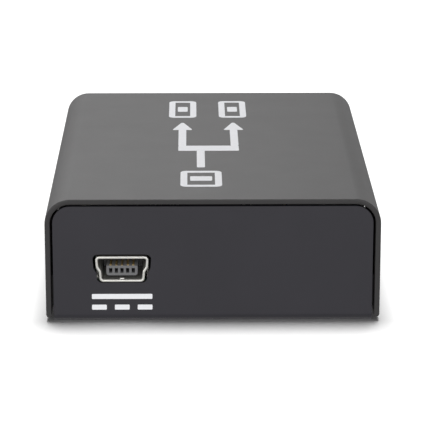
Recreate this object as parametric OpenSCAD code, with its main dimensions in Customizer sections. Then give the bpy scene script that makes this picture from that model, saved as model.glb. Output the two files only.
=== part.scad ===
// Video splitter, one input to two outputs, in a folded sheet-steel case.
// A U-shaped cover fits over a U-shaped tray. The tray carries the circuit board with its sockets,
// and countersunk screws from below hold the cover to it by brackets welded inside its walls.
// Millimetres. X runs across the end panels, Y along the case and Z up. The origin is the centre of
// the underside. The power inlet is in the end panel that faces -Y, the video input in the +X wall
// and the two video outputs in the -X wall.

/* [Case] */
// Width across the end panels
case_w = 47.5; // [46:0.1:60]
// Length from end to end
case_l = 65; // [63:0.5:90]
// Overall height
case_h = 18; // [15:0.1:25]
// Thickness of the sheet steel
sheet_t = 0.75; // [0.6:0.05:1.2]
// Inside radius of the bends along the top of the cover
bend_in = 2.85; // [1.5:0.05:4]
// Inside radius of the bends at the foot of the end panels
foot_bend_in = 0.25; // [0.1:0.05:1]
// Gap between the end panels and the cover
panel_gap = 0.35; // [0.15:0.05:0.6]
// How far the end panels sit back from the ends of the cover
panel_recess = 0.25; // [0:0.05:1]
// Height of the lower edges of the cover above the underside
skirt_lift = 0.55; // [0.1:0.05:0.8]

/* [Cover screws] */
// Diameter of the cover screws
screw_d = 2; // [1.6:0.1:2.5]
// Diameter of their countersunk heads
screw_head_d = 3.8; // [3.2:0.1:4.2]
// Length of a cover screw with its head
screw_l = 4; // [3.5:0.1:6]
// How far the heads sit inside the underside
screw_sink = 0.1; // [0.05:0.05:0.3]
// Span of the cross recess in the heads
screw_recess = 1.9; // [1.4:0.1:2.2]
// Depth of the cross recess
screw_recess_h = 0.45; // [0.3:0.05:0.6]
// Width of the slots of a cross recess
recess_slot = 0.5; // [0.3:0.05:0.7]
// Distance of the screws from the inner face of the side walls
screw_inset = 3.05; // [2.8:0.05:4]
// Flat rim above each countersink, where a bracket lands
dimple_rim = 0.4; // [0.2:0.05:0.8]

/* [Brackets] */
// Thickness of the brackets
bracket_t = 0.8; // [0.6:0.05:1.2]
// Reach of the brackets from the side walls
bracket_reach = 5.3; // [5:0.1:7]
// Width of the brackets along the case
bracket_w = 6; // [5:0.1:8]
// Height of the welded leg of the brackets
bracket_leg = 5; // [3:0.1:8]
// Gap between the brackets and the end panels
bracket_inset = 1; // [0.5:0.1:3]
// Height of the threaded collar on the brackets
collar_h = 0.9; // [0.5:0.1:1.5]
// Wall of the threaded collar
collar_wall = 0.65; // [0.4:0.05:1]

/* [Board] */
// Thickness of the circuit board
board_t = 1.6; // [1:0.1:2]
// Gap between the edges of the board and the case
board_gap = 0.45; // [0.2:0.05:1]
// Height of the board above the tray
standoff_h = 3.35; // [2.5:0.05:5]
// Diameter of the standoffs
standoff_d = 4.6; // [4.2:0.1:5.5]
// Diameter of their spigots, pressed into the tray
spigot_d = 3.6; // [3.2:0.1:4]
// How far the spigots end inside the underside
spigot_sink = 0.1; // [0.05:0.05:0.3]
// Diameter of the board screws
board_screw_d = 2.5; // [2:0.1:2.6]
// Length of a board screw below its head
board_screw_l = 5; // [4:0.1:5.2]
// Diameter of their pan heads
pan_head_d = 4.5; // [4:0.1:5]
// Height of their pan heads
pan_head_h = 1.7; // [1.2:0.1:2]
// Rounding of the rim of the pan heads
pan_head_r = 0.85; // [0.4:0.05:1]
// Span of the cross recess in the pan heads
pan_recess = 2.2; // [1.8:0.1:2.6]
// Depth of the cross recess
pan_recess_h = 0.8; // [0.5:0.05:1]
// Distance of the board screws from the ends of the board
hole_inset = 4; // [3:0.1:6]
// Distance of the board screws from the middle line
hole_x = 13; // [12:0.1:14]
// Distance of the front screw beside the inlet from the middle of the inlet
hole_past_inlet = 8.5; // [7:0.1:10]

/* [Video sockets] */
// Width of a video socket mouth at the top
video_wide = 14; // [13.8:0.05:14.2]
// Width of the mouth at the bottom
video_narrow = 10.7; // [10:0.1:11.5]
// Height of the mouth
video_high = 4.55; // [4.4:0.05:4.8]
// Height where the mouth starts to widen
video_step_low = 0.75; // [0.6:0.05:1]
// Height where the mouth is at its full width
video_step_high = 1.95; // [1.6:0.05:2.4]
// Corner radius of the mouth
video_corner = 0.5; // [0.2:0.05:0.6]
// Thickness of the plated shells of the video sockets
video_wall = 0.3; // [0.2:0.05:0.4]
// Depth of a video socket
video_depth = 11.4; // [10.5:0.1:12]
// Width of the contact tongue
video_tongue_w = 11.2; // [10.4:0.1:11.6]
// Thickness of the contact tongue
video_tongue_t = 1.6; // [1.2:0.05:1.8]
// Height of the middle of the tongue above the middle of the mouth
video_tongue_rise = 0.15; // [0:0.05:0.4]
// How far the tongue sits behind the mouth
video_tongue_sink = 1.2; // [0.8:0.1:2]
// Contacts on the upper side of the tongue, one more than below
video_upper_contacts = 10; // [8:1:10]
// Spacing of the contacts along each side of the tongue
video_pitch = 1; // [0.9:0.05:1]
// Width of the slots that free the spring fingers in the top of a shell
finger_slot = 0.35; // [0.2:0.05:0.5]
// Width of a spring finger
finger_w = 2.2; // [1.6:0.1:2.6]
// Length of a spring finger
finger_l = 4.5; // [3:0.1:5]
// Distance of the fingers from the middle of the shell
finger_x = 3.5; // [3:0.1:4]
// Distance of the fingers from the mouth
finger_y = 2.8; // [2:0.1:4]
// Place of the video input along the case
video_in_y = -4; // [-8:0.5:0]
// Distance of the middle of each video output from its end of the case
video_out_inset = 20; // [19:0.5:22]

/* [Power inlet] */
// Width of the inlet mouth at the top
inlet_wide = 6.9; // [6.7:0.05:7.1]
// Width of the mouth at the bottom
inlet_narrow = 5.9; // [5.6:0.05:6.2]
// Height of the mouth
inlet_high = 3.1; // [3:0.05:3.4]
// Height where the mouth starts to widen
inlet_step_low = 1.15; // [1:0.05:1.3]
// Height where the mouth is at its full width
inlet_step_high = 1.9; // [1.7:0.05:2.2]
// Corner radius of the mouth
inlet_corner = 0.25; // [0.2:0.05:0.5]
// Thickness of the plated shell of the inlet
inlet_wall = 0.35; // [0.25:0.05:0.4]
// Depth of the inlet
inlet_depth = 9.2; // [8.5:0.1:10]
// Width of the contact tongue
inlet_tongue_w = 4.45; // [4.2:0.05:4.7]
// Thickness of the contact tongue
inlet_tongue_t = 1.45; // [1.2:0.05:1.6]
// Depth of the middle of the tongue below the middle of the mouth
inlet_tongue_drop = 0.3; // [0:0.05:0.4]
// How far the tongue sits behind the mouth
inlet_tongue_sink = 0.4; // [0.3:0.05:1.2]
// Number of contacts
inlet_contacts = 5; // [4:1:5]
// Spacing of the contacts
inlet_pitch = 0.8; // [0.75:0.01:0.85]
// Width, depth and height of the windows in the front of the tongue
inlet_window = [0.42, 0.6, 0.6]; // [0.3:0.02:0.7]
// Diameter of the detent inside the lower lip of the mouth
detent_d = 0.6; // [0.4:0.1:0.8]
// Height of the detent
detent_h = 0.2; // [0.1:0.05:0.3]
// Distance of the middle of the inlet from the -X side of the case
inlet_side = 10.85; // [10.5:0.05:14]
// How far the shell sits behind the face of the end panel
inlet_sink = 0.15; // [0:0.05:0.5]
// Gap between the shell and the lower lip of its opening
inlet_lip_gap = 0.05; // [0.03:0.01:0.35]

/* [Socket fits] */
// Gap between a socket shell and the opening round it
port_gap = 0.35; // [0.2:0.05:0.6]
// Gap between the video sockets and the side walls
mouth_gap = 0.15; // [0.1:0.05:0.6]
// Length of the insulator block at the back of a socket
block_l = 3; // [2:0.1:4]
// Width of a contact
contact_w = 0.28; // [0.2:0.02:0.32]
// Thickness of a contact
contact_t = 0.15; // [0.1:0.01:0.2]
// How far a contact stands out of its groove
contact_proud = 0.03; // [0.01:0.01:0.05]
// How far a contact ends behind the tip of its tongue
contact_sink = 0.28; // [0.2:0.02:0.6]
// Length of the soldered foot of a contact
contact_foot = 1.2; // [0.8:0.1:1.6]
// Width of the solder legs of a shell
leg_w = 1.2; // [0.8:0.1:1.5]
// How far the legs stand out under the board
leg_out = 0.6; // [0.4:0.1:1]
// How far up the sides of a shell the legs reach
leg_lap = 0.5; // [0.3:0.1:1]
// Distance of the first pair of legs from the mouth
leg_front = 3.2; // [2.5:0.1:4]
// Distance of the second pair of legs from the back
leg_back = 2.6; // [2:0.1:3]
// Play of a contact or a leg in its slot, and of a block in its shell
slot_play = 0.05; // [0.02:0.01:0.1]

/* [Chips] */
// Side and height of the splitter chip body
chip_body = [10, 1.4]; // [1:0.1:10.5]
// Leads on each side of the splitter chip
chip_lead_count = 16; // [12:1:16]
// Spacing of its leads
chip_pitch = 0.5; // [0.45:0.01:0.55]
// Place of the splitter chip along the case
chip_y = 2; // [0:0.5:3]
// Length, width and height of the memory chip body
memory_body = [4.9, 3.9, 1.4]; // [1:0.1:6]
// Leads on each side of the memory chip
memory_lead_count = 4; // [3:1:4]
// Spacing of its leads
memory_pitch = 1.27; // [1:0.01:1.27]
// Length, width and height of the control chip body
control_body = [6.5, 4.4, 1.2]; // [1:0.1:8]
// Leads on each side of the control chip
control_lead_count = 10; // [8:1:10]
// Spacing of its leads
control_pitch = 0.65; // [0.5:0.01:0.65]
// Length, width and height of the regulator bodies
regulator_body = [6.5, 3.5, 1.6]; // [1:0.1:7]
// Spacing of the leads of a regulator
regulator_pitch = 2.3; // [2:0.1:2.5]
// Width of the leads and of the tab of a regulator
regulator_leads = [0.75, 3]; // [0.5:0.05:3.2]
// Place of the first regulator across the case
regulator_x = 1.5; // [0:0.1:2]
// Width of a chip lead
lead_w = 0.25; // [0.2:0.01:0.3]
// Width of a lead of the memory chip
memory_lead_w = 0.4; // [0.3:0.01:0.5]
// Thickness of a chip lead
lead_t = 0.15; // [0.1:0.01:0.2]
// Reach of a chip lead from its body
lead_reach = 1; // [0.8:0.05:1.2]
// Length of the soldered foot of a chip lead
lead_foot = 0.55; // [0.4:0.05:0.7]
// Height of a chip body above the board
chip_lift = 0.1; // [0.05:0.01:0.2]

/* [Small parts] */
// Length, width and height of the crystal can
crystal_can = [10.2, 3.8, 2.6]; // [2:0.1:11]
// Height of the base of the crystal
crystal_base = 0.9; // [0.6:0.1:1.2]
// Flange of the base round the can
crystal_flange = 0.45; // [0.3:0.05:0.6]
// Length, width and height of the input diode
diode_body = [2.6, 2, 2]; // [1:0.1:4]
// Width of its leads
diode_lead_w = 1.4; // [1:0.1:2]
// Width, length and height of the input fuse
fuse_body = [1.6, 3.2, 0.8]; // [0.6:0.1:4]
// Side and height of the power inductor
coil_body = [5, 2.8]; // [2:0.1:5.5]
// Diameter of the well in its top
coil_well_d = 4.2; // [3.8:0.1:4.6]
// Depth of the well
coil_well_h = 0.7; // [0.4:0.1:1]
// Diameter of the drum in the well
coil_drum_d = 3.6; // [3:0.1:3.7]
// How far the drum ends below the top
coil_drum_sink = 0.2; // [0.1:0.05:0.4]
// Diameter and height of the round capacitors
can_body = [6.3, 5.8]; // [4:0.1:7]
// Height of their moulded bases
can_base_h = 1; // [0.6:0.1:1.4]
// How far a base stands out round its can
can_base_lip = 0.15; // [0.1:0.05:0.3]
// Size of the two cut corners of a base
can_base_cut = 1.1; // [0.6:0.1:1.4]
// Width and depth of the groove near the foot of a can
can_groove = 0.2; // [0.1:0.05:0.3]
// Width, length and height of a resistor
resistor = [0.5, 1, 0.35]; // [0.2:0.05:1.6]
// Resistors on each side of the surge arrays of a video socket
resistor_count = 3; // [2:1:3]
// Width, length and height of a ceramic capacitor
ceramic = [0.8, 1.6, 0.8]; // [0.4:0.1:2]
// Ceramic capacitors along each free side of the splitter chip
ceramic_count = 5; // [3:1:6]
// Length, width and height of a surge array
surge_array = [2.5, 1, 0.5]; // [0.4:0.1:3]
// Least gap between neighbouring parts on the board
part_gap = 0.6; // [0.4:0.05:1]
// Least gap between neighbouring chips
chip_gap = 1.5; // [1:0.1:2]

/* [Lamps] */
// Diameter of the lamp windows in the side wall
window_d = 1.8; // [1.4:0.1:2.2]
// Distance of the first lamp from the video input
lamp_past_input = 6.7; // [5:0.1:7]
// Distance between lamps
lamp_pitch = 4; // [3.6:0.1:4.5]
// Width, depth and height of a lamp
lamp_body = [3, 0.9, 1.5]; // [0.8:0.1:3.2]
// Diameter of its lens
lens_d = 1.2; // [0.8:0.1:1.2]
// How far the lens sits behind the edge of the board
lens_sink = 0.1; // [0.05:0.05:0.4]

/* [Hidden] */

// Finishes
paint = "#2c2b2f";
plating = "#b9b7b0";
zinc = "#8d8f92";
resin = "#1d1d1f";
gold = "#c9a04a";
laminate = "#1f5b3a";

// Clearances and fineness
past = 1;             // how far a cutting shape runs past what it cuts
hole_play = 0.15;     // radial play of a screw in a plain hole
thread_play = 0.05;   // radial play of a screw in its thread, and of a head in its countersink
press_play = 0.02;    // radial play of a pressed-in spigot
arc_steps = 6;        // straight steps in a small rounded corner
least_corner = 0.05;  // radius that a corner keeps when its outline shrinks
round_fn = 64;        // fineness of round shapes

// Case
wall_in = case_w / 2 - sheet_t;
panel_w = 2 * (wall_in - panel_gap);
panel_top = case_h - sheet_t - panel_gap;
panel_out = case_l / 2 - panel_recess;
panel_in = panel_out - sheet_t;

// Cover screws, countersinks and brackets
screw_x = wall_in - screw_inset;
screw_head_h = (screw_head_d - screw_d) / 2;
screw_hole_r = screw_d / 2 + hole_play;
sink_r = screw_head_d / 2 + screw_sink + thread_play;
sink_h = sink_r - screw_hole_r;
dimple_top = max(sink_h, sheet_t) + dimple_rim;
dimple_r = screw_hole_r + sheet_t;
bracket_y = panel_in - bracket_inset - bracket_w / 2;
tap_r = screw_d / 2 + thread_play;

// Board
board_w = 2 * (wall_in - board_gap);
board_l = 2 * (panel_in - board_gap);
board_z = sheet_t + standoff_h;
board_top = board_z + board_t;
notch_x = wall_in - bracket_reach - board_gap;
notch_y = bracket_y - bracket_w / 2 - board_gap;
inlet_x = inlet_side - case_w / 2;
hole_y = board_l / 2 - hole_inset;
side_hole_x = inlet_x + hole_past_inlet;
board_holes = [[side_hole_x, -hole_y], [hole_x, -hole_y], [-hole_x, hole_y], [hole_x, hole_y]];

// Sockets
video_mouth = mouth(video_wide, video_narrow, video_high, video_step_low, video_step_high, video_corner);
inlet_mouth = mouth(inlet_wide, inlet_narrow, inlet_high, inlet_step_low, inlet_step_high, inlet_corner);
video_tongue_z = video_wall + video_high / 2 + video_tongue_rise;
inlet_tongue_z = inlet_wall + inlet_high / 2 - inlet_tongue_drop;
video_upper_z = video_tongue_z + video_tongue_t / 2 + contact_proud - contact_t;
video_lower_z = video_tongue_z - video_tongue_t / 2 - contact_proud;
inlet_upper_z = inlet_tongue_z + inlet_tongue_t / 2 + contact_proud - contact_t;
inlet_window_z = inlet_tongue_z - inlet_window[2] / 2;
video_back = video_depth + slot_play + contact_foot;
surge_x = (surge_array[0] + part_gap) / 2;
lamp_y = video_in_y + video_wide / 2 + lamp_past_input;

// Layout of the board: chips in one row along the case, the supply parts at the front
ceramic_row = chip_body[0] / 2 + lead_reach + part_gap + ceramic[1] / 2;
ceramic_end = ceramic_row + ceramic[1] / 2 + part_gap;
crystal_y = chip_y - ceramic_end - crystal_flange - crystal_can[1] / 2;
memory_y = chip_y + ceramic_end + lead_reach + memory_body[1] / 2;
control_y = memory_y + memory_body[1] / 2 + 2 * lead_reach + chip_gap + control_body[1] / 2;
crystal_front = crystal_y - crystal_can[1] / 2 - crystal_flange;
regulator_y = crystal_front - chip_gap - lead_reach - regulator_body[1] / 2;
regulator_step = regulator_body[0] + ceramic[0] + 2 * part_gap;
coil_x = regulator_x + regulator_step + regulator_body[0] / 2 + part_gap + coil_body[0] / 2;
diode_y = -hole_y + pan_head_d / 2 + part_gap + lead_reach + diode_body[1] / 2;
fuse_x = side_hole_x - diode_body[0] / 2 - part_gap - fuse_body[0] / 2;
can_side = can_body[0] + 2 * can_base_lip;
can_y = hole_y - pan_head_d / 2 - part_gap - can_side / 2;
cans = [[(side_hole_x + hole_x) / 2, -hole_y], [hole_x, can_y], [hole_x, can_y - can_side - part_gap]];

// Corner points [x, y, radius] of a socket mouth, wide above and narrow below
function mouth(wide, narrow, high, step_low, step_high, r) = [
    [-narrow / 2, 0, r], [narrow / 2, 0, r], [narrow / 2, step_low, r], [wide / 2, step_high, r],
    [wide / 2, high, r], [-wide / 2, high, r], [-wide / 2, step_high, r], [-narrow / 2, step_low, r]
];

function flat(p) = [p[0], p[1]];
function unit(v) = v / norm(v);
function turn(a, b) = a[0] * b[1] - a[1] * b[0];
function right_of(e) = [e[1], -e[0]];
function edge_in(c, i) = unit(flat(c[i]) - flat(c[(i + len(c) - 1) % len(c)]));
function edge_out(c, i) = unit(flat(c[(i + 1) % len(c)]) - flat(c[i]));

// The same outline with every edge moved outwards by d
function grown(c, d) = [
    for (i = [0:len(c) - 1])
        let (a = edge_in(c, i), b = edge_out(c, i), n = right_of(a), m = right_of(b))
        let (p = flat(c[i]) + (n + m) * d / (1 + n * m))
        let (r = turn(a, b) > 0 ? c[i][2] + d : c[i][2] - d)
        [p[0], p[1], max(r, least_corner)]
];

// The outline's points, with each corner as an arc
function rounded(c) = [
    for (i = [0:len(c) - 1])
        let (a = edge_in(c, i), b = edge_out(c, i), s = sign(turn(a, b)), r = c[i][2])
        let (start = flat(c[i]) - a * r * tan(acos(a * b) / 2))
        let (centre = start - s * r * right_of(a), sweep = s * acos(a * b))
        let (first = atan2(start[1] - centre[1], start[0] - centre[0]))
        for (k = [0:arc_steps])
            let (t = first + sweep * k / arc_steps)
            centre + r * [cos(t), sin(t)]
];

// Middle of the i-th of a row of count things
function spot(i, count, pitch) = (i - (count - 1) / 2) * pitch;

// An upright outline on its base line with its two upper corners rounded
module arch(w, h, r) {
    translate([-w / 2, 0]) square([w, h - r]);
    translate([r - w / 2, 0]) square([w - 2 * r, h]);
    for (side = [-1, 1]) translate([side * (w / 2 - r), h - r]) circle(r, $fn = round_fn);
}

// The same outline turned over, so that its lower corners are rounded
module trough(w, h, r) {
    translate([0, h]) mirror([0, 1]) arch(w, h, r);
}

// An outline in X and Z drawn out along Y
module along_y(from, to) {
    translate([0, to, 0]) rotate([90, 0, 0]) linear_extrude(to - from) children();
}

// An outline in Y and Z drawn out across X, centred on the given place
module across_x(middle, width) {
    translate([middle - width / 2, 0, 0]) rotate([90, 0, 90]) linear_extrude(width) children();
}

// A block that stands on its base, centred in X and Y
module block(size) {
    translate([-size[0] / 2, -size[1] / 2, 0]) cube(size);
}

// A shape, or its mirror image in X
module facing(side) {
    if (side < 0) mirror([1, 0, 0]) children();
    else children();
}

module at_corners(x, y) {
    for (i = [-1, 1], j = [-1, 1]) translate([i * x, j * y, 0]) children();
}

// Places of the sockets: each is drawn with its mouth facing -Y and its base on the board
module at_inlet() translate([inlet_x, inlet_sink - panel_out, board_top]) children();
module at_video_in() translate([wall_in - mouth_gap, video_in_y, board_top]) rotate(90) children();
module at_video_out(n) {
    end = n == 1 ? 1 : -1;
    y = end * (case_l / 2 - video_out_inset);
    translate([mouth_gap - wall_in, y, board_top]) rotate(-90) children();
}
module at_video_sockets() {
    at_video_in() children();
    for (n = [1, 2]) at_video_out(n) children();
}

// Places on the board: anywhere, and at the n-th lamp, drawn facing -Y at the edge of the board
module on_board(x, y) translate([x, y, board_top]) children();
module at_lamp(n) on_board(board_w / 2, lamp_y + n * lamp_pitch) rotate(90) children();

// Opening for a socket in a sheet between the given depths, with its own gap under the shell
module port(corners, wall, from, to, under = port_gap) {
    outline = [for (p = grown(corners, wall + port_gap)) [p[0], max(p[1], -wall - under), p[2]]];
    translate([0, 0, wall]) along_y(from, to) polygon(rounded(outline));
}

module top_cover() {
    color(paint) difference() {
        along_y(-case_l / 2, case_l / 2) difference() {
            translate([0, skirt_lift]) arch(case_w, case_h - skirt_lift, bend_in + sheet_t);
            translate([0, -past]) arch(2 * wall_in, case_h - sheet_t + past, bend_in);
        }
        at_video_sockets() port(video_mouth, video_wall, -mouth_gap - sheet_t - past, -mouth_gap / 2);
        for (n = [0:2]) at_lamp(n) translate([0, -board_gap / 2, lamp_body[2] / 2])
            rotate([90, 0, 0]) cylinder(h = board_gap / 2 + sheet_t + past, d = window_d, $fn = round_fn);
    }
}

module cover_brackets() {
    color(zinc) for (side = [-1, 1], end = [-1, 1]) facing(side) translate([0, end * bracket_y, dimple_top])
        bracket();
}

// L-shaped bracket with a threaded collar, standing on Z 0 inside the +X wall
module bracket() {
    difference() {
        union() {
            translate([wall_in - bracket_reach / 2, 0, 0]) block([bracket_reach, bracket_w, bracket_t]);
            translate([wall_in - bracket_t / 2, 0, 0]) block([bracket_t, bracket_w, bracket_leg]);
            translate([screw_x, 0, 0])
                cylinder(h = bracket_t + collar_h, r = tap_r + collar_wall, $fn = round_fn);
        }
        translate([screw_x, 0, -past])
            cylinder(h = bracket_t + collar_h + 2 * past, r = tap_r, $fn = round_fn);
    }
}

module bottom_tray() {
    color(paint) difference() {
        union() {
            intersection() {
                across_x(0, panel_w) difference() {
                    trough(2 * panel_out, panel_top, foot_bend_in + sheet_t);
                    translate([0, sheet_t]) trough(2 * panel_in, panel_top, foot_bend_in);
                }
                along_y(-case_l, case_l) arch(panel_w, panel_top, bend_in - panel_gap);
            }
            at_corners(screw_x, bracket_y) dimple();
        }
        at_corners(screw_x, bracket_y) countersink();
        for (p = board_holes) translate([p[0], p[1], -past])
            cylinder(h = sheet_t + 2 * past, r = spigot_d / 2 + press_play, $fn = round_fn);
        at_inlet()
            port(inlet_mouth, inlet_wall, -inlet_sink - past, sheet_t - inlet_sink + past, inlet_lip_gap);
    }
}

// Cone of sheet raised round a countersink, with a flat top
module dimple() {
    rise = dimple_top - sheet_t;
    translate([0, 0, sheet_t]) cylinder(h = rise, r1 = dimple_r + rise, r2 = dimple_r, $fn = round_fn);
}

module countersink() {
    translate([0, 0, -past])
        cylinder(h = sink_h + past, r1 = sink_r + past, r2 = screw_hole_r, $fn = round_fn);
    cylinder(h = dimple_top + past, r = screw_hole_r, $fn = round_fn);
}

module cover_screws() {
    color(zinc) at_corners(screw_x, bracket_y) translate([0, 0, screw_sink]) difference() {
        union() {
            cylinder(h = screw_head_h, d1 = screw_head_d, d2 = screw_d, $fn = round_fn);
            cylinder(h = screw_l, d = screw_d, $fn = round_fn);
        }
        cross_recess(screw_recess, screw_recess_h);
    }
}

// Cross-shaped driver recess, cut upwards from the base of a head
module cross_recess(span, depth) {
    for (quarter = [0, 90]) rotate(quarter) translate([0, 0, -past])
        block([span, recess_slot, depth + past]);
}

module circuit_board() {
    notch = [board_w / 2 - notch_x + past, board_l / 2 - notch_y + past, board_t + 2 * past];
    color(laminate) difference() {
        translate([0, 0, board_z]) block([board_w, board_l, board_t]);
        at_corners(notch_x + notch[0] / 2, notch_y + notch[1] / 2)
            translate([0, 0, board_z - past]) block(notch);
        for (p = board_holes) translate([p[0], p[1], board_z - past])
            cylinder(h = board_t + 2 * past, r = board_screw_d / 2 + hole_play, $fn = round_fn);
        at_video_sockets() leg_slots(video_wide, video_wall, video_depth);
        at_inlet() leg_slots(inlet_wide, inlet_wall, inlet_depth);
    }
}

module board_standoffs() {
    color(zinc) for (p = board_holes) translate([p[0], p[1], 0]) difference() {
        union() {
            translate([0, 0, sheet_t]) cylinder(h = standoff_h, d = standoff_d, $fn = round_fn);
            translate([0, 0, spigot_sink]) cylinder(h = sheet_t, d = spigot_d, $fn = round_fn);
        }
        cylinder(h = board_z + past, r = board_screw_d / 2 + thread_play, $fn = round_fn);
    }
}

module board_screws() {
    color(zinc) for (p = board_holes) on_board(p[0], p[1]) difference() {
        union() {
            translate([0, 0, -board_screw_l]) cylinder(h = board_screw_l, d = board_screw_d, $fn = round_fn);
            rotate_extrude($fn = round_fn) pan_head_half();
        }
        translate([0, 0, pan_head_h]) mirror([0, 0, 1]) cross_recess(pan_recess, pan_recess_h);
    }
}

// Half outline of a pan head, flat on top with a rounded rim
module pan_head_half() {
    square([pan_head_d / 2, pan_head_h - pan_head_r]);
    square([pan_head_d / 2 - pan_head_r, pan_head_h]);
    translate([pan_head_d / 2 - pan_head_r, pan_head_h - pan_head_r]) intersection() {
        circle(pan_head_r, $fn = round_fn);
        square(pan_head_r);
    }
}

// Sockets are drawn with the mouth at Y 0, facing -Y, and the shell standing on Z 0

module shell_tube(corners, wall, depth) {
    translate([0, 0, wall]) along_y(0, depth) difference() {
        polygon(rounded(grown(corners, wall)));
        polygon(rounded(corners));
    }
}

// The four places of the solder legs of a shell, each at the inner face of its upright side
module at_legs(wide, depth) {
    for (side = [-1, 1], y = [leg_front, depth - leg_back])
        facing(side) translate([wide / 2, y, 0]) children();
}

// Solder legs that carry on down from the upright sides of a shell
module shell_legs(wide, step_high, wall, depth) {
    foot = board_t + leg_out;
    at_legs(wide, depth) translate([wall / 2, 0, -foot])
        block([wall, leg_w, foot + wall + step_high + leg_lap]);
}

module leg_slots(wide, wall, depth) {
    slot = [wall + 2 * slot_play, leg_w + 2 * slot_play, board_t + 2 * past];
    at_legs(wide, depth) translate([wall / 2, 0, -board_t - past]) block(slot);
}

// U-shaped slot that frees a spring finger in the top of a video shell
module finger_cut() {
    difference() {
        translate([-finger_w / 2 - finger_slot, 0, 0])
            cube([finger_w + 2 * finger_slot, finger_l + finger_slot, video_wall + past]);
        translate([-finger_w / 2, -past, -past]) cube([finger_w, finger_l + past, video_wall + 3 * past]);
    }
}

module video_shell() {
    color(plating) difference() {
        union() {
            shell_tube(video_mouth, video_wall, video_depth);
            shell_legs(video_wide, video_step_high, video_wall, video_depth);
        }
        for (side = [-1, 1])
            translate([side * finger_x, finger_y, video_high + video_wall / 2]) finger_cut();
    }
}

// Insulator block at the back of a shell
module socket_block(corners, wall, depth) {
    translate([0, 0, wall]) along_y(depth - block_l, depth) polygon(rounded(grown(corners, -slot_play)));
}

// Tongue that reaches forward from the block
module socket_tongue(width, thick, middle, depth, sink) {
    long = depth - block_l / 2 - sink;
    translate([0, sink + long / 2, middle - thick / 2]) block([width, long, thick]);
}

// Side outline of a contact: along the tongue, out of the back, down to the board and along it
function contact_side(z, depth, sink) = let (tip = sink + contact_sink, back = depth + slot_play) [
    [tip, z], [back, z], [back, 0], [back + contact_foot, 0], [back + contact_foot, contact_t],
    [back + contact_t, contact_t], [back + contact_t, z + contact_t], [tip, z + contact_t]
];

module contact_row(count, pitch, z, depth, sink) {
    for (i = [0:count - 1]) across_x(spot(i, count, pitch), contact_w) polygon(contact_side(z, depth, sink));
}

// Grooves and tunnels for a row of contacts
module contact_cuts(count, pitch, z, depth, sink) {
    start = sink + contact_sink - slot_play;
    cut = [contact_w + 2 * slot_play, depth + past - start, contact_t + 2 * slot_play];
    for (i = [0:count - 1])
        translate([spot(i, count, pitch), start + cut[1] / 2, z - slot_play]) block(cut);
}

module video_insulator() {
    color(resin) difference() {
        union() {
            socket_block(video_mouth, video_wall, video_depth);
            socket_tongue(video_tongue_w, video_tongue_t, video_tongue_z, video_depth, video_tongue_sink);
        }
        contact_cuts(video_upper_contacts, video_pitch, video_upper_z, video_depth, video_tongue_sink);
        contact_cuts(video_upper_contacts - 1, video_pitch, video_lower_z, video_depth, video_tongue_sink);
    }
}

module video_contacts() {
    color(gold) {
        contact_row(video_upper_contacts, video_pitch, video_upper_z, video_depth, video_tongue_sink);
        contact_row(video_upper_contacts - 1, video_pitch, video_lower_z, video_depth, video_tongue_sink);
    }
}

module power_inlet_shell() {
    color(plating) at_inlet() {
        shell_tube(inlet_mouth, inlet_wall, inlet_depth);
        shell_legs(inlet_wide, inlet_step_high, inlet_wall, inlet_depth);
        detent();
    }
}

// Small half-round bump on the floor of the inlet mouth
module detent() {
    intersection() {
        translate([0, 0, inlet_wall + detent_h - detent_d / 2])
            along_y(0, detent_d) circle(d = detent_d, $fn = round_fn);
        translate([0, 0, inlet_wall / 2]) block([inlet_narrow, inlet_depth, inlet_high]);
    }
}

module power_inlet_insulator() {
    color("#57565a") at_inlet() difference() {
        union() {
            socket_block(inlet_mouth, inlet_wall, inlet_depth);
            socket_tongue(inlet_tongue_w, inlet_tongue_t, inlet_tongue_z, inlet_depth, inlet_tongue_sink);
        }
        contact_cuts(inlet_contacts, inlet_pitch, inlet_upper_z, inlet_depth, inlet_tongue_sink);
        for (i = [0:inlet_contacts - 1])
            translate([spot(i, inlet_contacts, inlet_pitch), inlet_tongue_sink, inlet_window_z])
                block([inlet_window[0], 2 * inlet_window[1], inlet_window[2]]);
    }
}

module power_inlet_contacts() {
    color(gold) at_inlet()
        contact_row(inlet_contacts, inlet_pitch, inlet_upper_z, inlet_depth, inlet_tongue_sink);
}

// Row of bent leads along X, reaching out towards -Y from a body of the given width and height
module lead_row(count, pitch, lead, width, high) {
    root = -width / 2;
    tip = root - lead_reach;
    knee = tip + lead_foot;
    for (i = [0:count - 1]) across_x(spot(i, count, pitch), lead) polygon([
        [root, high / 2], [knee, high / 2], [knee, lead_t], [tip, lead_t], [tip, 0],
        [knee + lead_t, 0], [knee + lead_t, high / 2 - lead_t], [root, high / 2 - lead_t]
    ]);
}

// Chip body, held a little above the board by its leads
module chip_box(size) {
    translate([0, 0, chip_lift]) block([size[0], size[1], size[2] - chip_lift]);
}

// Chip with a row of leads along each of its two long sides
module two_row_chip(body, count, pitch, lead) {
    chip_box(body);
    for (side = [0, 180]) rotate(side) lead_row(count, pitch, lead, body[1], body[2]);
}

module splitter_chip() {
    color(resin) on_board(0, chip_y) {
        chip_box([chip_body[0], chip_body[0], chip_body[1]]);
        for (side = [0:90:270]) rotate(side)
            lead_row(chip_lead_count, chip_pitch, lead_w, chip_body[0], chip_body[1]);
    }
}

module control_chip() {
    color(resin) on_board(0, control_y)
        two_row_chip(control_body, control_lead_count, control_pitch, lead_w);
}

module memory_chip() {
    color(resin) on_board(0, memory_y)
        two_row_chip(memory_body, memory_lead_count, memory_pitch, memory_lead_w);
}

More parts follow.
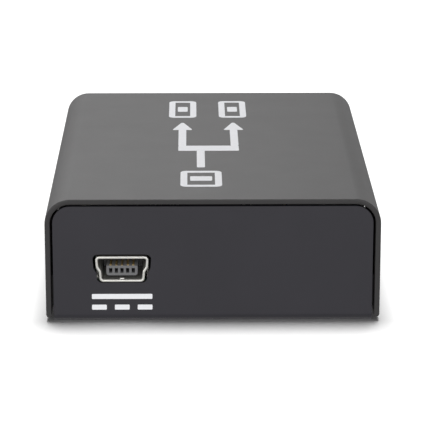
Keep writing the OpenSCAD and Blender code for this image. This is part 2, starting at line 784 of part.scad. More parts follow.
// Two regulators, each with three leads in front and one wide tab behind
module regulators() {
    color(resin) for (i = [0, 1]) on_board(regulator_x + i * regulator_step, regulator_y) {
        chip_box(regulator_body);
        lead_row(3, regulator_pitch, regulator_leads[0], regulator_body[1], regulator_body[2]);
        rotate(180) lead_row(1, 0, regulator_leads[1], regulator_body[1], regulator_body[2]);
    }
}

// Long metal can on a flanged base with two soldered feet
module crystal() {
    base = [crystal_can[0] + 2 * crystal_flange, crystal_can[1] + 2 * crystal_flange];
    color(plating) on_board(0, crystal_y) {
        translate([0, 0, crystal_base])
            linear_extrude(crystal_can[2]) round_bar(crystal_can[0], crystal_can[1]);
        translate([0, 0, chip_lift]) linear_extrude(crystal_base - chip_lift) round_bar(base[0], base[1]);
        block([base[0] + lead_foot, lead_foot, 2 * chip_lift]);
    }
}

// Bar with half-round ends
module round_bar(long, wide) {
    square([long - wide, wide], center = true);
    for (side = [-1, 1]) translate([side * (long - wide) / 2, 0]) circle(d = wide, $fn = round_fn);
}

// Shielded coil: a square of ferrite with a round well in its top that shows the drum
module power_inductor() {
    color("#3b3b3d") on_board(coil_x, regulator_y) {
        difference() {
            block([coil_body[0], coil_body[0], coil_body[1]]);
            translate([0, 0, coil_body[1] - coil_well_h])
                cylinder(h = coil_well_h + past, d = coil_well_d, $fn = round_fn);
        }
        cylinder(h = coil_body[1] - coil_drum_sink, d = coil_drum_d, $fn = round_fn);
    }
}

module input_diode() {
    color(resin) on_board(side_hole_x, diode_y) two_row_chip(diode_body, 1, 0, diode_lead_w);
}

module input_fuse() {
    color("#2d6b46") on_board(fuse_x, diode_y) block(fuse_body);
}

// Square moulded bases of the round capacitors, each with two cut corners
module capacitor_bases() {
    half = can_side / 2;
    color(resin) for (p = cans) on_board(p[0], p[1]) linear_extrude(can_base_h) polygon([
        [-half, -half], [half, -half], [half, half - can_base_cut], [half - can_base_cut, half],
        [can_base_cut - half, half], [-half, half - can_base_cut]
    ]);
}

// Aluminium cans with a groove rolled in near the foot
module capacitor_cans() {
    r = can_body[0] / 2;
    high = can_body[1] - can_base_h;
    color("silver") for (p = cans) on_board(p[0], p[1]) translate([0, 0, can_base_h])
        rotate_extrude($fn = round_fn) polygon([
            [0, 0], [r, 0], [r, can_groove], [r - can_groove, can_groove], [r - can_groove, 2 * can_groove],
            [r, 2 * can_groove], [r, high - can_groove], [r - can_groove, high], [0, high]
        ]);
}

// Two surge arrays behind the contacts of each video socket
module surge_arrays() {
    color(resin) at_video_sockets() for (side = [-1, 1])
        translate([side * surge_x, video_back + part_gap + surge_array[1] / 2, 0]) block(surge_array);
}

// Resistors in line with the surge arrays, on both sides of them, and one behind each lamp
module chip_resistors() {
    first = surge_x + surge_array[0] / 2 + part_gap + resistor[0] / 2;
    row_y = video_back + part_gap + resistor[1] / 2;
    lamp_back = lens_sink + lens_d / 2 + lamp_body[1];
    color("#2a2a2c") {
        at_video_sockets() for (side = [-1, 1], i = [0:resistor_count - 1])
            translate([side * (first + i * (resistor[0] + part_gap)), row_y, 0]) block(resistor);
        for (n = [0:2]) at_lamp(n) translate([0, lamp_back + part_gap + resistor[1] / 2, 0]) block(resistor);
    }
}

// Capacitors along the two free sides of the splitter chip, and one on the left of each regulator
module ceramic_capacitors() {
    color("#b59a72") {
        for (side = [-1, 1], i = [0:ceramic_count - 1])
            on_board(spot(i, ceramic_count, ceramic[0] + part_gap), chip_y + side * ceramic_row)
                block(ceramic);
        for (i = [0, 1])
            on_board(regulator_x + (i - 0.5) * regulator_step, regulator_y) block(ceramic);
    }
}

// Side-facing lamp with a domed lens, drawn facing -Y from the edge of the board
module lamp() {
    translate([0, lens_sink + lens_d / 2, 0]) {
        translate([-lamp_body[0] / 2, 0, 0]) cube(lamp_body);
        translate([0, 0, lamp_body[2] / 2]) sphere(d = lens_d, $fn = round_fn);
    }
}

module power_led() color("#c9372c") at_lamp(0) lamp();
module link_leds() color("#3fa34d") for (n = [1, 2]) at_lamp(n) lamp();

top_cover();
cover_brackets();
bottom_tray();
cover_screws();
circuit_board();
board_standoffs();
board_screws();
at_video_in() video_shell();  // video_in_shell
at_video_in() video_insulator();  // video_in_insulator
at_video_in() video_contacts();  // video_in_contacts
at_video_out(1) video_shell();  // video_out_1_shell
at_video_out(1) video_insulator();  // video_out_1_insulator
at_video_out(1) video_contacts();  // video_out_1_contacts
at_video_out(2) video_shell();  // video_out_2_shell
at_video_out(2) video_insulator();  // video_out_2_insulator
at_video_out(2) video_contacts();  // video_out_2_contacts
power_inlet_shell();
power_inlet_insulator();
power_inlet_contacts();
splitter_chip();
control_chip();
memory_chip();
crystal();
regulators();
power_inductor();
input_diode();
input_fuse();
capacitor_bases();
capacitor_cans();
surge_arrays();
chip_resistors();
ceramic_capacitors();
power_led();
link_leds();
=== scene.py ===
"""Looks of a small video splitter in a folded steel case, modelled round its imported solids."""

import math
from contextlib import contextmanager
from typing import NamedTuple

import bmesh
import bpy
from mathutils import Matrix, Vector


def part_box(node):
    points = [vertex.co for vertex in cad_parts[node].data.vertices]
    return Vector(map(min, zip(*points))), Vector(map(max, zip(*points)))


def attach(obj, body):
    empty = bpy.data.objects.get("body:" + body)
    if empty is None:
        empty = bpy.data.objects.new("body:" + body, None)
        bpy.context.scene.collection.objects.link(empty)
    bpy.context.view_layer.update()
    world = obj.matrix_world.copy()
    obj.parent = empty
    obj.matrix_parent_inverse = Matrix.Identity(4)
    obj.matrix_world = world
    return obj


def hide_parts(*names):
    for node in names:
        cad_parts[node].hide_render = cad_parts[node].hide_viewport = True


bl_info = {
    "name": "Video splitter looks",
    "version": (1, 0, 0),
    "blender": (4, 5, 0),
    "location": "3D View > Sidebar > Splitter",
    "description": "Models the visible pieces of a video splitter round its packed solids",
    "category": "Object",
}

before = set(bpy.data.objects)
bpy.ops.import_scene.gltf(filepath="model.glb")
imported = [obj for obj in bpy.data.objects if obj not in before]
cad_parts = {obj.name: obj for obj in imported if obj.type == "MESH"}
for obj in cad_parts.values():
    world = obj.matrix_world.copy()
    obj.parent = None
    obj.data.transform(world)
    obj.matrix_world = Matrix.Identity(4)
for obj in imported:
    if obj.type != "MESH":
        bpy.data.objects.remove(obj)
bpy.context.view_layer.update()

# Pieces are modelled in millimetres and brought to metres when they are finished
MM = 1000.0
QUARTER = math.pi / 2

# Depth in millimetres of a cutter that goes right through a sheet or the board
THROUGH = 8.0

# Width in millimetres of the pads under contacts and leads
PAD = 0.34

# Distance in millimetres within which a point counts as lying on a plane or an edge
NEAR = 0.01


# Settings that a user may change


def length(name, millimetres, description):
    """Property that holds a length"""
    return bpy.props.FloatProperty(
        name=name, description=description, default=millimetres / MM, unit="LENGTH", precision=5
    )


def colour(name, red, green, blue, description):
    """Property that holds a colour"""
    return bpy.props.FloatVectorProperty(
        name=name, description=description, default=(red, green, blue), subtype="COLOR", min=0, max=1
    )


def angle(name, degrees, description):
    """Property that holds an angle"""
    return bpy.props.FloatProperty(
        name=name, description=description, default=math.radians(degrees), subtype="ANGLE"
    )


def number(name, value, description):
    """Property that holds a plain number"""
    return bpy.props.FloatProperty(name=name, description=description, default=value, min=0)


class CaseSettings(bpy.types.PropertyGroup):
    """Sizes of the folded case and its print"""

    sheet: length("Sheet", 0.75, "Thickness of the steel sheet")
    bend: length("Top bend", 3.6, "Outer radius of the bends along the top of the cover")
    foot_bend: length("Foot bend", 1.0, "Outer radius of the bends at the foot of the end panels")
    panel_corner: length("Panel corner", 2.5, "Radius of the upper corners of the end panels")
    edge: length("Edge", 0.12, "Rounding of the painted cut edges")
    port_edge: length("Port edge", 0.03, "Rounding of the edges of the cover's openings")
    skirt: length("Skirt", 0.42, "Rounding of the outer lower edges of the cover")
    port_gap: length("Port gap", 0.35, "Gap between a socket and the opening round it")
    window_radius: length("Window radius", 0.9, "Radius of the lamp windows")
    ink: length("Ink", 0.015, "Thickness of the printed ink")
    digit: length("Digit", 2.0, "Height of the digits over the outputs")


class VideoSettings(bpy.types.PropertyGroup):
    """Sizes of the video sockets"""

    wide: length("Wide", 14.0, "Width of the mouth at the top")
    narrow: length("Narrow", 10.7, "Width of the mouth at the bottom")
    high: length("High", 4.55, "Height of the mouth")
    step_low: length("Step low", 0.75, "Height where the mouth starts to widen")
    step_high: length("Step high", 1.95, "Height where the mouth is at its full width")
    lean: length("Lean", 0.0, "How far the sides lean out above and below the step")
    corner: length("Corner", 0.75, "Rounding of the corners of the shell")
    wall: length("Wall", 0.3, "Thickness of the plated shell")
    depth: length("Depth", 11.4, "Depth of the socket")
    reach: length("Reach", 0.12, "How far the rim of the shell stands out towards the cover")
    tongue_sink: length("Tongue sink", 1.2, "How far the tongue's tip lies behind the mouth")
    tongue_w: length("Tongue width", 11.2, "Width of the contact tongue")
    tongue_t: length("Tongue", 1.6, "Thickness of the contact tongue")
    tongue_z: length("Tongue height", 2.725, "Height of the middle of the tongue above the board")
    pitch: length("Pitch", 1.0, "Spacing of the contacts on each side of the tongue")


class InletSettings(bpy.types.PropertyGroup):
    """Sizes of the power inlet"""

    wide: length("Wide", 6.9, "Width of the mouth at the top")
    narrow: length("Narrow", 5.9, "Width of the mouth at the bottom")
    high: length("High", 3.1, "Height of the mouth")
    step_low: length("Step low", 1.25, "Height where the mouth starts to widen")
    step_high: length("Step high", 1.9, "Height where the mouth is at its full width")
    lean: length("Lean", 0.09, "How far the sides lean out above and below the step")
    corner: length("Corner", 0.6, "Rounding of the corners of the shell")
    wall: length("Wall", 0.35, "Thickness of the plated shell")
    lip_gap: length("Lip gap", 0.05, "Gap between the shell and the opening under it")
    depth: length("Depth", 9.2, "Depth of the inlet")
    tongue_sink: length("Tongue sink", 0.4, "How far the tongue's tip lies behind the mouth")
    tongue_w: length("Tongue width", 4.45, "Width of the contact tongue")
    tongue_t: length("Tongue", 1.45, "Thickness of the contact tongue")
    tongue_z: length("Tongue height", 1.6, "Height of the middle of the tongue above the board")
    pitch: length("Pitch", 0.8, "Spacing of the contacts")


class BoardSettings(bpy.types.PropertyGroup):
    """Sizes of the circuit board"""

    notch_gap: length("Notch gap", 0.45, "Gap between the notches of the board and the brackets")
    hole_radius: length("Hole radius", 1.4, "Radius of the screw holes")
    track: length("Track", 0.14, "Width of the copper tracks")
    copper: length("Copper", 0.03, "Thickness of tracks, pads and marking")
    line: length("Line", 0.15, "Width of the marking round the parts")


class ColourSettings(bpy.types.PropertyGroup):
    """Colours of the finishes"""

    cover_paint: colour("Cover paint", 0.0195, 0.0185, 0.019, "Satin black paint of the cover")
    tray_paint: colour("Tray paint", 0.0152, 0.0142, 0.0188, "Satin black paint of the tray, a little bluer")
    white_ink: colour("White ink", 0.83, 0.835, 0.865, "Printed marks of the case")
    nickel_plate: colour("Nickel plate", 0.53, 0.5, 0.445, "Shells of the sockets")
    zinc_plate: colour("Zinc plate", 0.6, 0.62, 0.64, "Screws and standoffs")
    tinned_metal: colour("Tinned metal", 0.72, 0.72, 0.71, "Leads, pads and ends of small parts")
    gold_plate: colour("Gold plate", 0.86, 0.62, 0.27, "Contacts of the sockets")
    aluminium_can: colour("Aluminium can", 0.78, 0.78, 0.79, "Round capacitors")
    steel_can: colour("Steel can", 0.68, 0.67, 0.64, "Crystal")
    black_resin: colour("Black resin", 0.014, 0.014, 0.015, "Chips, bases and video insulators")
    grey_resin: colour("Grey resin", 0.125, 0.123, 0.127, "Insulator of the power inlet")
    white_resin: colour("White resin", 0.72, 0.71, 0.66, "Bodies of the lamps")
    ferrite: colour("Ferrite", 0.045, 0.045, 0.047, "Core of the inductor")
    enamelled_copper: colour("Enamelled copper", 0.6, 0.24, 0.09, "Winding of the inductor")
    tan_ceramic: colour("Tan ceramic", 0.42, 0.29, 0.18, "Ceramic capacitors")
    black_ceramic: colour("Black ceramic", 0.02, 0.02, 0.022, "Chip resistors")
    green_resin: colour("Green resin", 0.03, 0.2, 0.08, "Fuse")
    red_lens: colour("Red lens", 0.62, 0.03, 0.02, "Power lamp")
    green_lens: colour("Green lens", 0.05, 0.5, 0.1, "Link lamps")
    board_marking: colour("Board marking", 0.8, 0.8, 0.77, "Lines round the parts of the board")
    laminate_edge: colour("Laminate edge", 0.26, 0.23, 0.13, "Cut edges of the board")
    solder_mask: colour("Solder mask", 0.012, 0.085, 0.04, "Mask over bare laminate")
    mask_over_copper: colour("Mask over copper", 0.03, 0.16, 0.07, "Mask over tracks and copper areas")


class StageSettings(bpy.types.PropertyGroup):
    """Camera, lamps and floor"""

    lens: number("Lens", 196.1, "Focal length of the camera in millimetres, on a sensor 36 mm wide")
    camera_x: length("Camera X", -2.92, "Place of the camera across the case")
    camera_y: length("Camera Y", -344.95, "Place of the camera along the case")
    camera_z: length("Camera Z", 107.33, "Height of the camera")
    pitch: angle("Pitch", 16.278, "How far the camera looks down")
    yaw: angle("Yaw", 0.525, "How far the camera looks towards +X")
    sky: number("Sky", 0.135, "Strength of the surroundings as a light")
    roof: number("Roof lamp", 12.8, "Power of the lamp above that casts the shadow, in watts")
    rear: number("Rear lamp", 0.4, "Power of the lamp that the top reflects, in watts")
    front: number("Front lamp", 11.0, "Power of the lamp above and before the object, in watts")
    side: number("Side lamps", 3.0, "Power of the lamps on the left and right, in watts")
    floor_glow: number("Floor glow", 0.55, "Light of the floor on the object")


def settings(name):
    """Settings group of the scene"""
    return getattr(bpy.context.scene, "splitter_" + name)


def mm(group, *names):
    """Lengths of a settings group, in millimetres"""
    values = [getattr(group, name) * MM for name in names]
    return values if len(values) > 1 else values[0]


# Selecting and shaping


def only(*pieces):
    """Leave just these objects selected, with the first of them active"""
    bpy.ops.object.select_all(action="DESELECT")
    for piece in pieces:
        piece.select_set(True)
    if pieces:
        bpy.context.view_layer.objects.active = pieces[0]


def named(name):
    """Name the active object and its mesh"""
    made = bpy.context.object
    made.name = name
    made.data.name = name
    return made


def every(item):
    """Test that takes all vertices, edges or faces"""
    return True


def runs(edge, axis):
    """True if an edge lies along an axis"""
    step = edge.verts[0].co - edge.verts[1].co
    return abs(step[axis]) > 0.99 * step.length


@contextmanager
def editing(piece, kind, test=every):
    """Edit mode on a piece, with the vertices, edges or faces that pass the test selected"""
    only(piece)
    bpy.ops.object.mode_set(mode="EDIT")
    bpy.ops.mesh.select_mode(type=kind)
    bpy.ops.mesh.select_all(action="DESELECT")
    mesh = bmesh.from_edit_mesh(piece.data)
    items = {"VERT": mesh.verts, "EDGE": mesh.edges, "FACE": mesh.faces}[kind]
    for item in [i for i in items if test(i)]:
        item.select_set(True)
    bmesh.update_edit_mesh(piece.data)
    yield
    bpy.ops.object.mode_set(mode="OBJECT")


def round_edges(piece, radius, segments, test):
    """Round the edges that pass the test"""
    with editing(piece, "EDGE", test):
        bpy.ops.mesh.bevel(offset=radius, segments=segments, affect="EDGES")


def modify(piece, kind, **values):
    """Add a modifier with these values and apply it"""
    only(piece)
    made = piece.modifiers.new(kind, kind)
    for name, value in values.items():
        setattr(made, name, value)
    bpy.ops.object.modifier_apply(modifier=made.name)


def soften(piece, width, segments=2, limit=40):
    """Round the edges of a piece that are sharper than the limit, in degrees"""
    modify(
        piece, "BEVEL", width=width, segments=segments, limit_method="ANGLE", angle_limit=math.radians(limit)
    )
    return piece


def cut(piece, *tools):
    """Cut these tools out of a piece"""
    for tool in tools:
        modify(piece, "BOOLEAN", operation="DIFFERENCE", solver="EXACT", object=tool)
        bpy.data.objects.remove(tool)


def placed(piece, place, turn=0.0):
    """Turn a piece about the upright axis, move it and keep that in its mesh"""
    only(piece)
    piece.rotation_euler = (0, 0, turn)
    piece.location = place
    bpy.ops.object.transform_apply(location=True, rotation=True, scale=True)
    return piece


def row(piece, count, pitch):
    """Repeat a piece along X, centred on where it was"""
    modify(
        piece, "ARRAY", count=count, use_relative_offset=False, use_constant_offset=True,
        constant_offset_displace=(pitch, 0, 0),
    )
    return placed(piece, (pitch * (1 - count) / 2, 0, 0))


def copied(piece, place, turn=0.0):
    """Copy of a piece with its own mesh, turned and moved"""
    only(piece)
    bpy.ops.object.duplicate(linked=False)
    return placed(bpy.context.object, place, turn)


def joined(name, pieces):
    """Several pieces as one"""
    only(*pieces)
    if len(pieces) > 1:
        bpy.ops.object.join()
    return named(name)


def copies(name, piece, places):
    """A piece repeated at each of these places and turns, as one"""
    made = [copied(piece, place, turn) for place, turn in places]
    bpy.data.objects.remove(piece)
    return joined(name, made)


def coat(piece, *finishes):
    """Give a piece the materials of these finishes"""
    piece.data.materials.clear()
    for name in finishes:
        piece.data.materials.append(finish(name))
    return piece


def coat_faces(piece, index, test):
    """Give the faces that pass the test another of the piece's materials"""
    for face in piece.data.polygons:
        if test(face):
            face.material_index = index


def settle(piece, body, node=None):
    """Bring a finished piece to metres, smooth it and hand it to the frame"""
    only(piece)
    piece.scale = (1 / MM,) * 3
    bpy.ops.object.transform_apply(location=True, rotation=True, scale=True)
    bpy.ops.object.shade_smooth_by_angle(angle=math.radians(35))
    modify(piece, "WEIGHTED_NORMAL", keep_sharp=True, weight=100)
    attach(piece, body)
    if node:
        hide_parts(node)


# Starting shapes


def block(name, low, high):
    """Block between two corners"""
    low = Vector(low)
    high = Vector(high)
    only()
    bpy.ops.mesh.primitive_cube_add(size=1, location=(low + high) / 2)
    made = named(name)
    made.scale = high - low
    bpy.ops.object.transform_apply(location=True, rotation=True, scale=True)
    return made


def drum(name, centre, radius, depth, axis="Z", sides=48):
    """Cylinder about its centre, along an axis"""
    turns = {"X": (0, QUARTER, 0), "Y": (QUARTER, 0, 0), "Z": (0, 0, 0)}
    only()
    bpy.ops.mesh.primitive_cylinder_add(
        vertices=sides, radius=radius, depth=depth, location=centre, rotation=turns[axis]
    )
    bpy.ops.object.transform_apply(location=True, rotation=True, scale=True)
    return named(name)


def outline_face(name, points, fill):
    """Flat mesh in the XZ plane with these corner points"""
    only()
    bpy.ops.mesh.primitive_circle_add(vertices=len(points), radius=1, fill_type=fill, location=(0, 0, 0))
    made = named(name)
    for vertex, (u, v) in zip(made.data.vertices, points):
        vertex.co = (u, 0, v)
    return made


def outwards():
    """Turn all faces of the mesh in edit mode outwards"""
    bpy.ops.mesh.select_all(action="SELECT")
    bpy.ops.mesh.normals_make_consistent(inside=False)


def prism(name, points, start, depth, axis="Y", corner=0.0, steps=5, wall=0.0):
    """Outline drawn out along an axis, its corners rounded, as a solid or as a tube with a wall"""
    made = outline_face(name, rounded(points, corner, steps), "NOTHING" if wall else "NGON")
    if wall:
        bore = rounded(grown(points, -wall), max(corner - wall, 0.02), steps)
        made = joined(name, [made, outline_face("bore", bore, "NOTHING")])
        with editing(made, "EDGE"):
            bpy.ops.mesh.bridge_edge_loops()
    with editing(made, "FACE"):
        bpy.ops.mesh.extrude_region_move(TRANSFORM_OT_translate={"value": (0, depth, 0)})
    lay = {"X": lambda c: (c.y, c.x, c.z), "Y": lambda c: c, "Z": lambda c: (c.x, c.z, c.y)}[axis]
    for vertex in made.data.vertices:
        vertex.co = lay(vertex.co + Vector((0, start, 0)))
    with editing(made, "FACE"):
        outwards()
    return made


def lathe(name, profile, centre, steps=40):
    """Closed profile of radius and height turned about an upright axis"""
    made = outline_face(name, profile, "NOTHING")
    with editing(made, "EDGE"):
        bpy.ops.mesh.spin(steps=steps, angle=2 * math.pi, center=(0, 0, 0), axis=(0, 0, 1))
        bpy.ops.mesh.select_all(action="SELECT")
        bpy.ops.mesh.remove_doubles(threshold=0.0005)
        bpy.ops.mesh.delete_loose(use_verts=True, use_edges=True, use_faces=False)
        outwards()
    return placed(made, centre)


def bar(x0, y0, x1, y1):
    """Corner points of a rectangle"""
    return [(x0, y0), (x1, y0), (x1, y1), (x0, y1)]


def arc(radius, start, end, steps, x=0.0, y=0.0):
    """Points on an arc about x and y. Angles are in degrees from +X."""
    turns = [math.radians(start + (end - start) * i / steps) for i in range(steps + 1)]
    return [(x + radius * math.cos(a), y + radius * math.sin(a)) for a in turns]


def rounded(outline, radius, steps):
    """Outline with round corners. A corner takes less than half of each edge next to it."""
    if not radius:
        return outline
    points = [Vector(p) for p in outline]
    made = []
    for i, point in enumerate(points):
        before = points[i - 1] - point
        after = points[(i + 1) % len(points)] - point
        half = before.angle(after) / 2
        back = min(radius / math.tan(half), 0.49 * before.length, 0.49 * after.length)
        start = point + back * before.normalized()
        centre = point + (before.normalized() + after.normalized()).normalized() * back / math.cos(half)
        sweep = (start - centre).angle_signed(point + back * after.normalized() - centre)
        turns = [Matrix.Rotation(-sweep * step / steps, 2) for step in range(steps + 1)]
        made += [centre + turn @ (start - centre) for turn in turns]
    return made


def round_bar(long, wide, steps=12):
    """Points of a bar along X with half-round ends"""
    half = (long - wide) / 2
    return arc(wide / 2, -90, 90, steps, half) + arc(wide / 2, 90, 270, steps, -half)


def grown(outline, distance):
    """Outline whose edges are moved outwards, for points that run anticlockwise"""
    points = [Vector(p) for p in outline]
    made = []
    for i, point in enumerate(points):
        before = (point - points[i - 1]).normalized()
        after = (points[(i + 1) % len(points)] - point).normalized()
        out = Vector((before.y, -before.x)) + Vector((after.y, -after.x))
        made.append(point + out * distance / (1 + before.dot(after)))
    return made


# Places from the frame, in millimetres


def box_of(node):
    """Lowest and highest corner of a node"""
    low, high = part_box(node)
    return low * MM, high * MM


def solids(node):
    """Lowest and highest corner of each separate solid of a node"""
    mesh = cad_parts[node].data
    parents = {}

    def root(key):
        while parents[key] != key:
            key = parents[key]
        return key

    for face in mesh.polygons:
        corners = [mesh.vertices[index].co * MM for index in face.vertices]
        keys = [tuple(round(c, 3) for c in corner) for corner in corners]
        for key in keys:
            parents.setdefault(key, key)
        for key in keys[1:]:
            parents[root(key)] = root(keys[0])
    groups = {}
    for key in parents:
        groups.setdefault(root(key), []).append(key)
    boxes = []
    for keys in groups.values():
        columns = list(zip(*keys))
        boxes.append((Vector(map(min, columns)), Vector(map(max, columns))))
    return sorted(boxes, key=lambda box: tuple(box[0]))


def middle(low, high):
    """Middle of a box"""
    return (low + high) / 2


def feet(node):
    """Middle of the lower face of each solid of a node"""
    return [Vector((middle(low, high).x, middle(low, high).y, low.z)) for low, high in solids(node)]


def board_top():
    """Height of the upper face of the circuit board"""
    return box_of("circuit_board")[1].z


def video_places():
    """Place and turn of each video socket, by its name. A socket is drawn facing -Y on the board."""
    found = {}
    for name in ("video_in", "video_out_1", "video_out_2"):
        low, high = box_of(name + "_shell")
        right = low.x > 0
        place = Vector((high.x if right else low.x, middle(low, high).y, board_top()))
        found[name] = (place, QUARTER if right else -QUARTER)
    return found


def inlet_place():
    """Place of the power inlet, which faces -Y"""
    low, high = box_of("power_inlet_shell")
    return Vector((middle(low, high).x, low.y, board_top()))


def mouth(socket):
    """Corner points of a socket's mouth, standing on the lower wall of its shell"""
    wide, narrow, high, low, step, lean, base = mm(
        socket, "wide", "narrow", "high", "step_low", "step_high", "lean", "wall"
    )
    right = [
        (narrow / 2 - lean, base), (narrow / 2, base + low),
        (wide / 2 - lean, base + step), (wide / 2, base + high),
    ]
    return right + [(-x, z) for x, z in reversed(right)]


# Materials


def feed(tree, node, inputs):
    """Set or link inputs of a node"""
    for key, value in inputs.items():
        if isinstance(value, Wire):
            tree.links.new(value.socket, node.inputs[key])
        else:
            node.inputs[key].default_value = value


class Wire:
    """An output socket of a node tree. Sums of wires and numbers add Math nodes."""

    def __init__(self, tree, socket=None):
        self.tree = tree
        self.socket = socket

    def node(self, kind, setup, inputs, output=0):
        """Add a node of this kind, set it up, feed its inputs and return one of its outputs"""
        made = self.tree.nodes.new("ShaderNode" + kind)
        for name, value in setup.items():
            setattr(made, name, value)
        feed(self.tree, made, inputs)
        return Wire(self.tree, made.outputs[output])

    def sum(self, operation, *terms):
        """Add a Math node"""
        return self.node("Math", {"operation": operation}, dict(enumerate(terms)))

    def mix(self, first, second):
        """Colour between two, by this wire"""
        return self.node("Mix", {"data_type": "RGBA"}, {0: self, 6: first, 7: second}, 2)

    def __add__(self, other):
        return self.sum("ADD", self, other)

    def __mul__(self, other):
        return self.sum("MULTIPLY", self, other)

    def __lt__(self, other):
        return self.sum("LESS_THAN", self, other)

    def __abs__(self):
        return self.sum("ABSOLUTE", self)

    __radd__ = __add__
    __rmul__ = __mul__


class Look(NamedTuple):
    """How a finish varies: tone of its patches, roughness and metal, and its grain in millimetres"""

    tone: float
    smooth: float
    rough: float
    metal: float = 0.0
    patch: float = 0.5
    grain: float = 0.06
    relief: float = 0.002
    streak: tuple = (1, 1, 1)
    fixed: tuple = ()


LOOKS = {
    "cover_paint": Look(1.25, 0.46, 0.58, 0, 6.0, 0.11, 0.003, fixed=(("IOR", 1.42),)),
    "tray_paint": Look(1.25, 0.46, 0.58, 0, 6.0, 0.11, 0.003, fixed=(("IOR", 1.42),)),
    "white_ink": Look(0.93, 0.5, 0.65, 0, 0.8, 0.05),
    "nickel_plate": Look(0.88, 0.08, 0.18, 1, 1.5, 0.09, 0.0004, (1, 0.15, 1)),
    "zinc_plate": Look(0.8, 0.28, 0.48, 1, 0.9, 0.12, 0.003),
    "tinned_metal": Look(0.84, 0.22, 0.42, 1, 0.4, 0.08, 0.003),
    "gold_plate": Look(0.86, 0.16, 0.32, 1, 0.5, 0.06, 0.0008),
    "aluminium_can": Look(0.88, 0.24, 0.42, 1, 1.2, 0.07, 0.0015, (1, 1, 0.1)),
    "steel_can": Look(0.86, 0.2, 0.36, 1, 1.4, 0.1, 0.0012, (0.1, 1, 1)),
    "black_resin": Look(1.5, 0.5, 0.75, 0, 1.0, 0.05, 0.003),
    "grey_resin": Look(0.8, 0.45, 0.62, 0, 0.6),
    "white_resin": Look(0.9, 0.4, 0.55),
    "ferrite": Look(1.5, 0.55, 0.8, 0, 0.5, 0.06, 0.005),
    "enamelled_copper": Look(0.75, 0.2, 0.35, 1, 0.3, 0.05, 0.001),
    "tan_ceramic": Look(0.8, 0.4, 0.6, 0, 0.4, 0.05),
    "black_ceramic": Look(1.5, 0.25, 0.45, 0, 0.3, 0.05, 0.001),
    "green_resin": Look(0.75, 0.3, 0.5, 0, 0.5, 0.06, 0.001),
    "red_lens": Look(0.8, 0.08, 0.2, 0, 0.3, 0.08, 0.0005, fixed=(("Transmission Weight", 0.5),)),
    "green_lens": Look(0.8, 0.08, 0.2, 0, 0.3, 0.08, 0.0005, fixed=(("Transmission Weight", 0.5),)),
    "board_marking": Look(0.9, 0.5, 0.65, 0, 0.5, 0.04),
    "laminate_edge": Look(0.7, 0.55, 0.8, 0, 0.4, 0.08, 0.006, (1, 1, 6)),
    "solder_mask": Look(1.2, 0.18, 0.34, 0, 5.0, 0.35, 0.0015),
    "mask_over_copper": Look(0.85, 0.2, 0.35, 0, 1.0, 0.1, 0.001),
}


def opaque(rgb, factor=1.0):
    """Colour with alpha, lighter or darker by a factor"""
    return (*[c * factor for c in rgb], 1.0)


def finish(name):
    """Material of a finish: its colour and gloss drift in soft patches, and it has a fine grain"""
    made = bpy.data.materials.get(name)
    if made:
        return made
    look = LOOKS[name]
    base = getattr(settings("colours"), name)
    made = bpy.data.materials.new(name)
    made.use_nodes = True
    tree = made.node_tree
    wire = Wire(tree)
    point = wire.node("TexCoord", {}, {}, "Object")
    drawn = wire.node("Mapping", {}, {"Vector": point, "Scale": look.streak})
    patches = wire.node("TexNoise", {}, {"Vector": point, "Scale": MM / look.patch, "Detail": 3.0})
    grains = wire.node("TexNoise", {}, {"Vector": drawn, "Scale": MM / look.grain, "Detail": 2.0})
    inputs = {
        "Base Color": patches.mix(opaque(base), opaque(base, look.tone)),
        "Metallic": look.metal,
        "Roughness": look.smooth + (look.rough - look.smooth) * (0.5 * patches + 0.5 * grains),
        "Normal": wire.node("Bump", {}, {"Strength": 1.0, "Distance": look.relief / MM, "Height": grains}),
        **dict(look.fixed),
    }
    if name == "solder_mask":
        inputs["Base Color"] = mask_tint(wire, point, base)
    feed(tree, tree.nodes["Principled BSDF"], inputs)
    return made


def mask_tint(wire, point, base):
    """Colour of the solder mask: glass weave, and copper under it that stops short of the board's edge"""
    copper = settings("colours").mask_over_copper
    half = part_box("circuit_board")[1]
    margin = 0.7 / MM
    across = wire.node("SeparateXYZ", {}, {0: point}, 0)
    along = wire.node("SeparateXYZ", {}, {0: point}, 1)
    poured = (abs(across) < half.x - margin) * (abs(along) < half.y - margin)
    strands = [
        wire.node("TexWave", {"bands_direction": way}, {"Vector": point, "Scale": 250.0}) for way in "XY"
    ]
    cloth = (0.35 + 0.65 * poured) * (0.8 + 0.1 * strands[0] + 0.1 * strands[1])
    return cloth.mix(opaque(base), opaque(copper, 0.75))


# Case


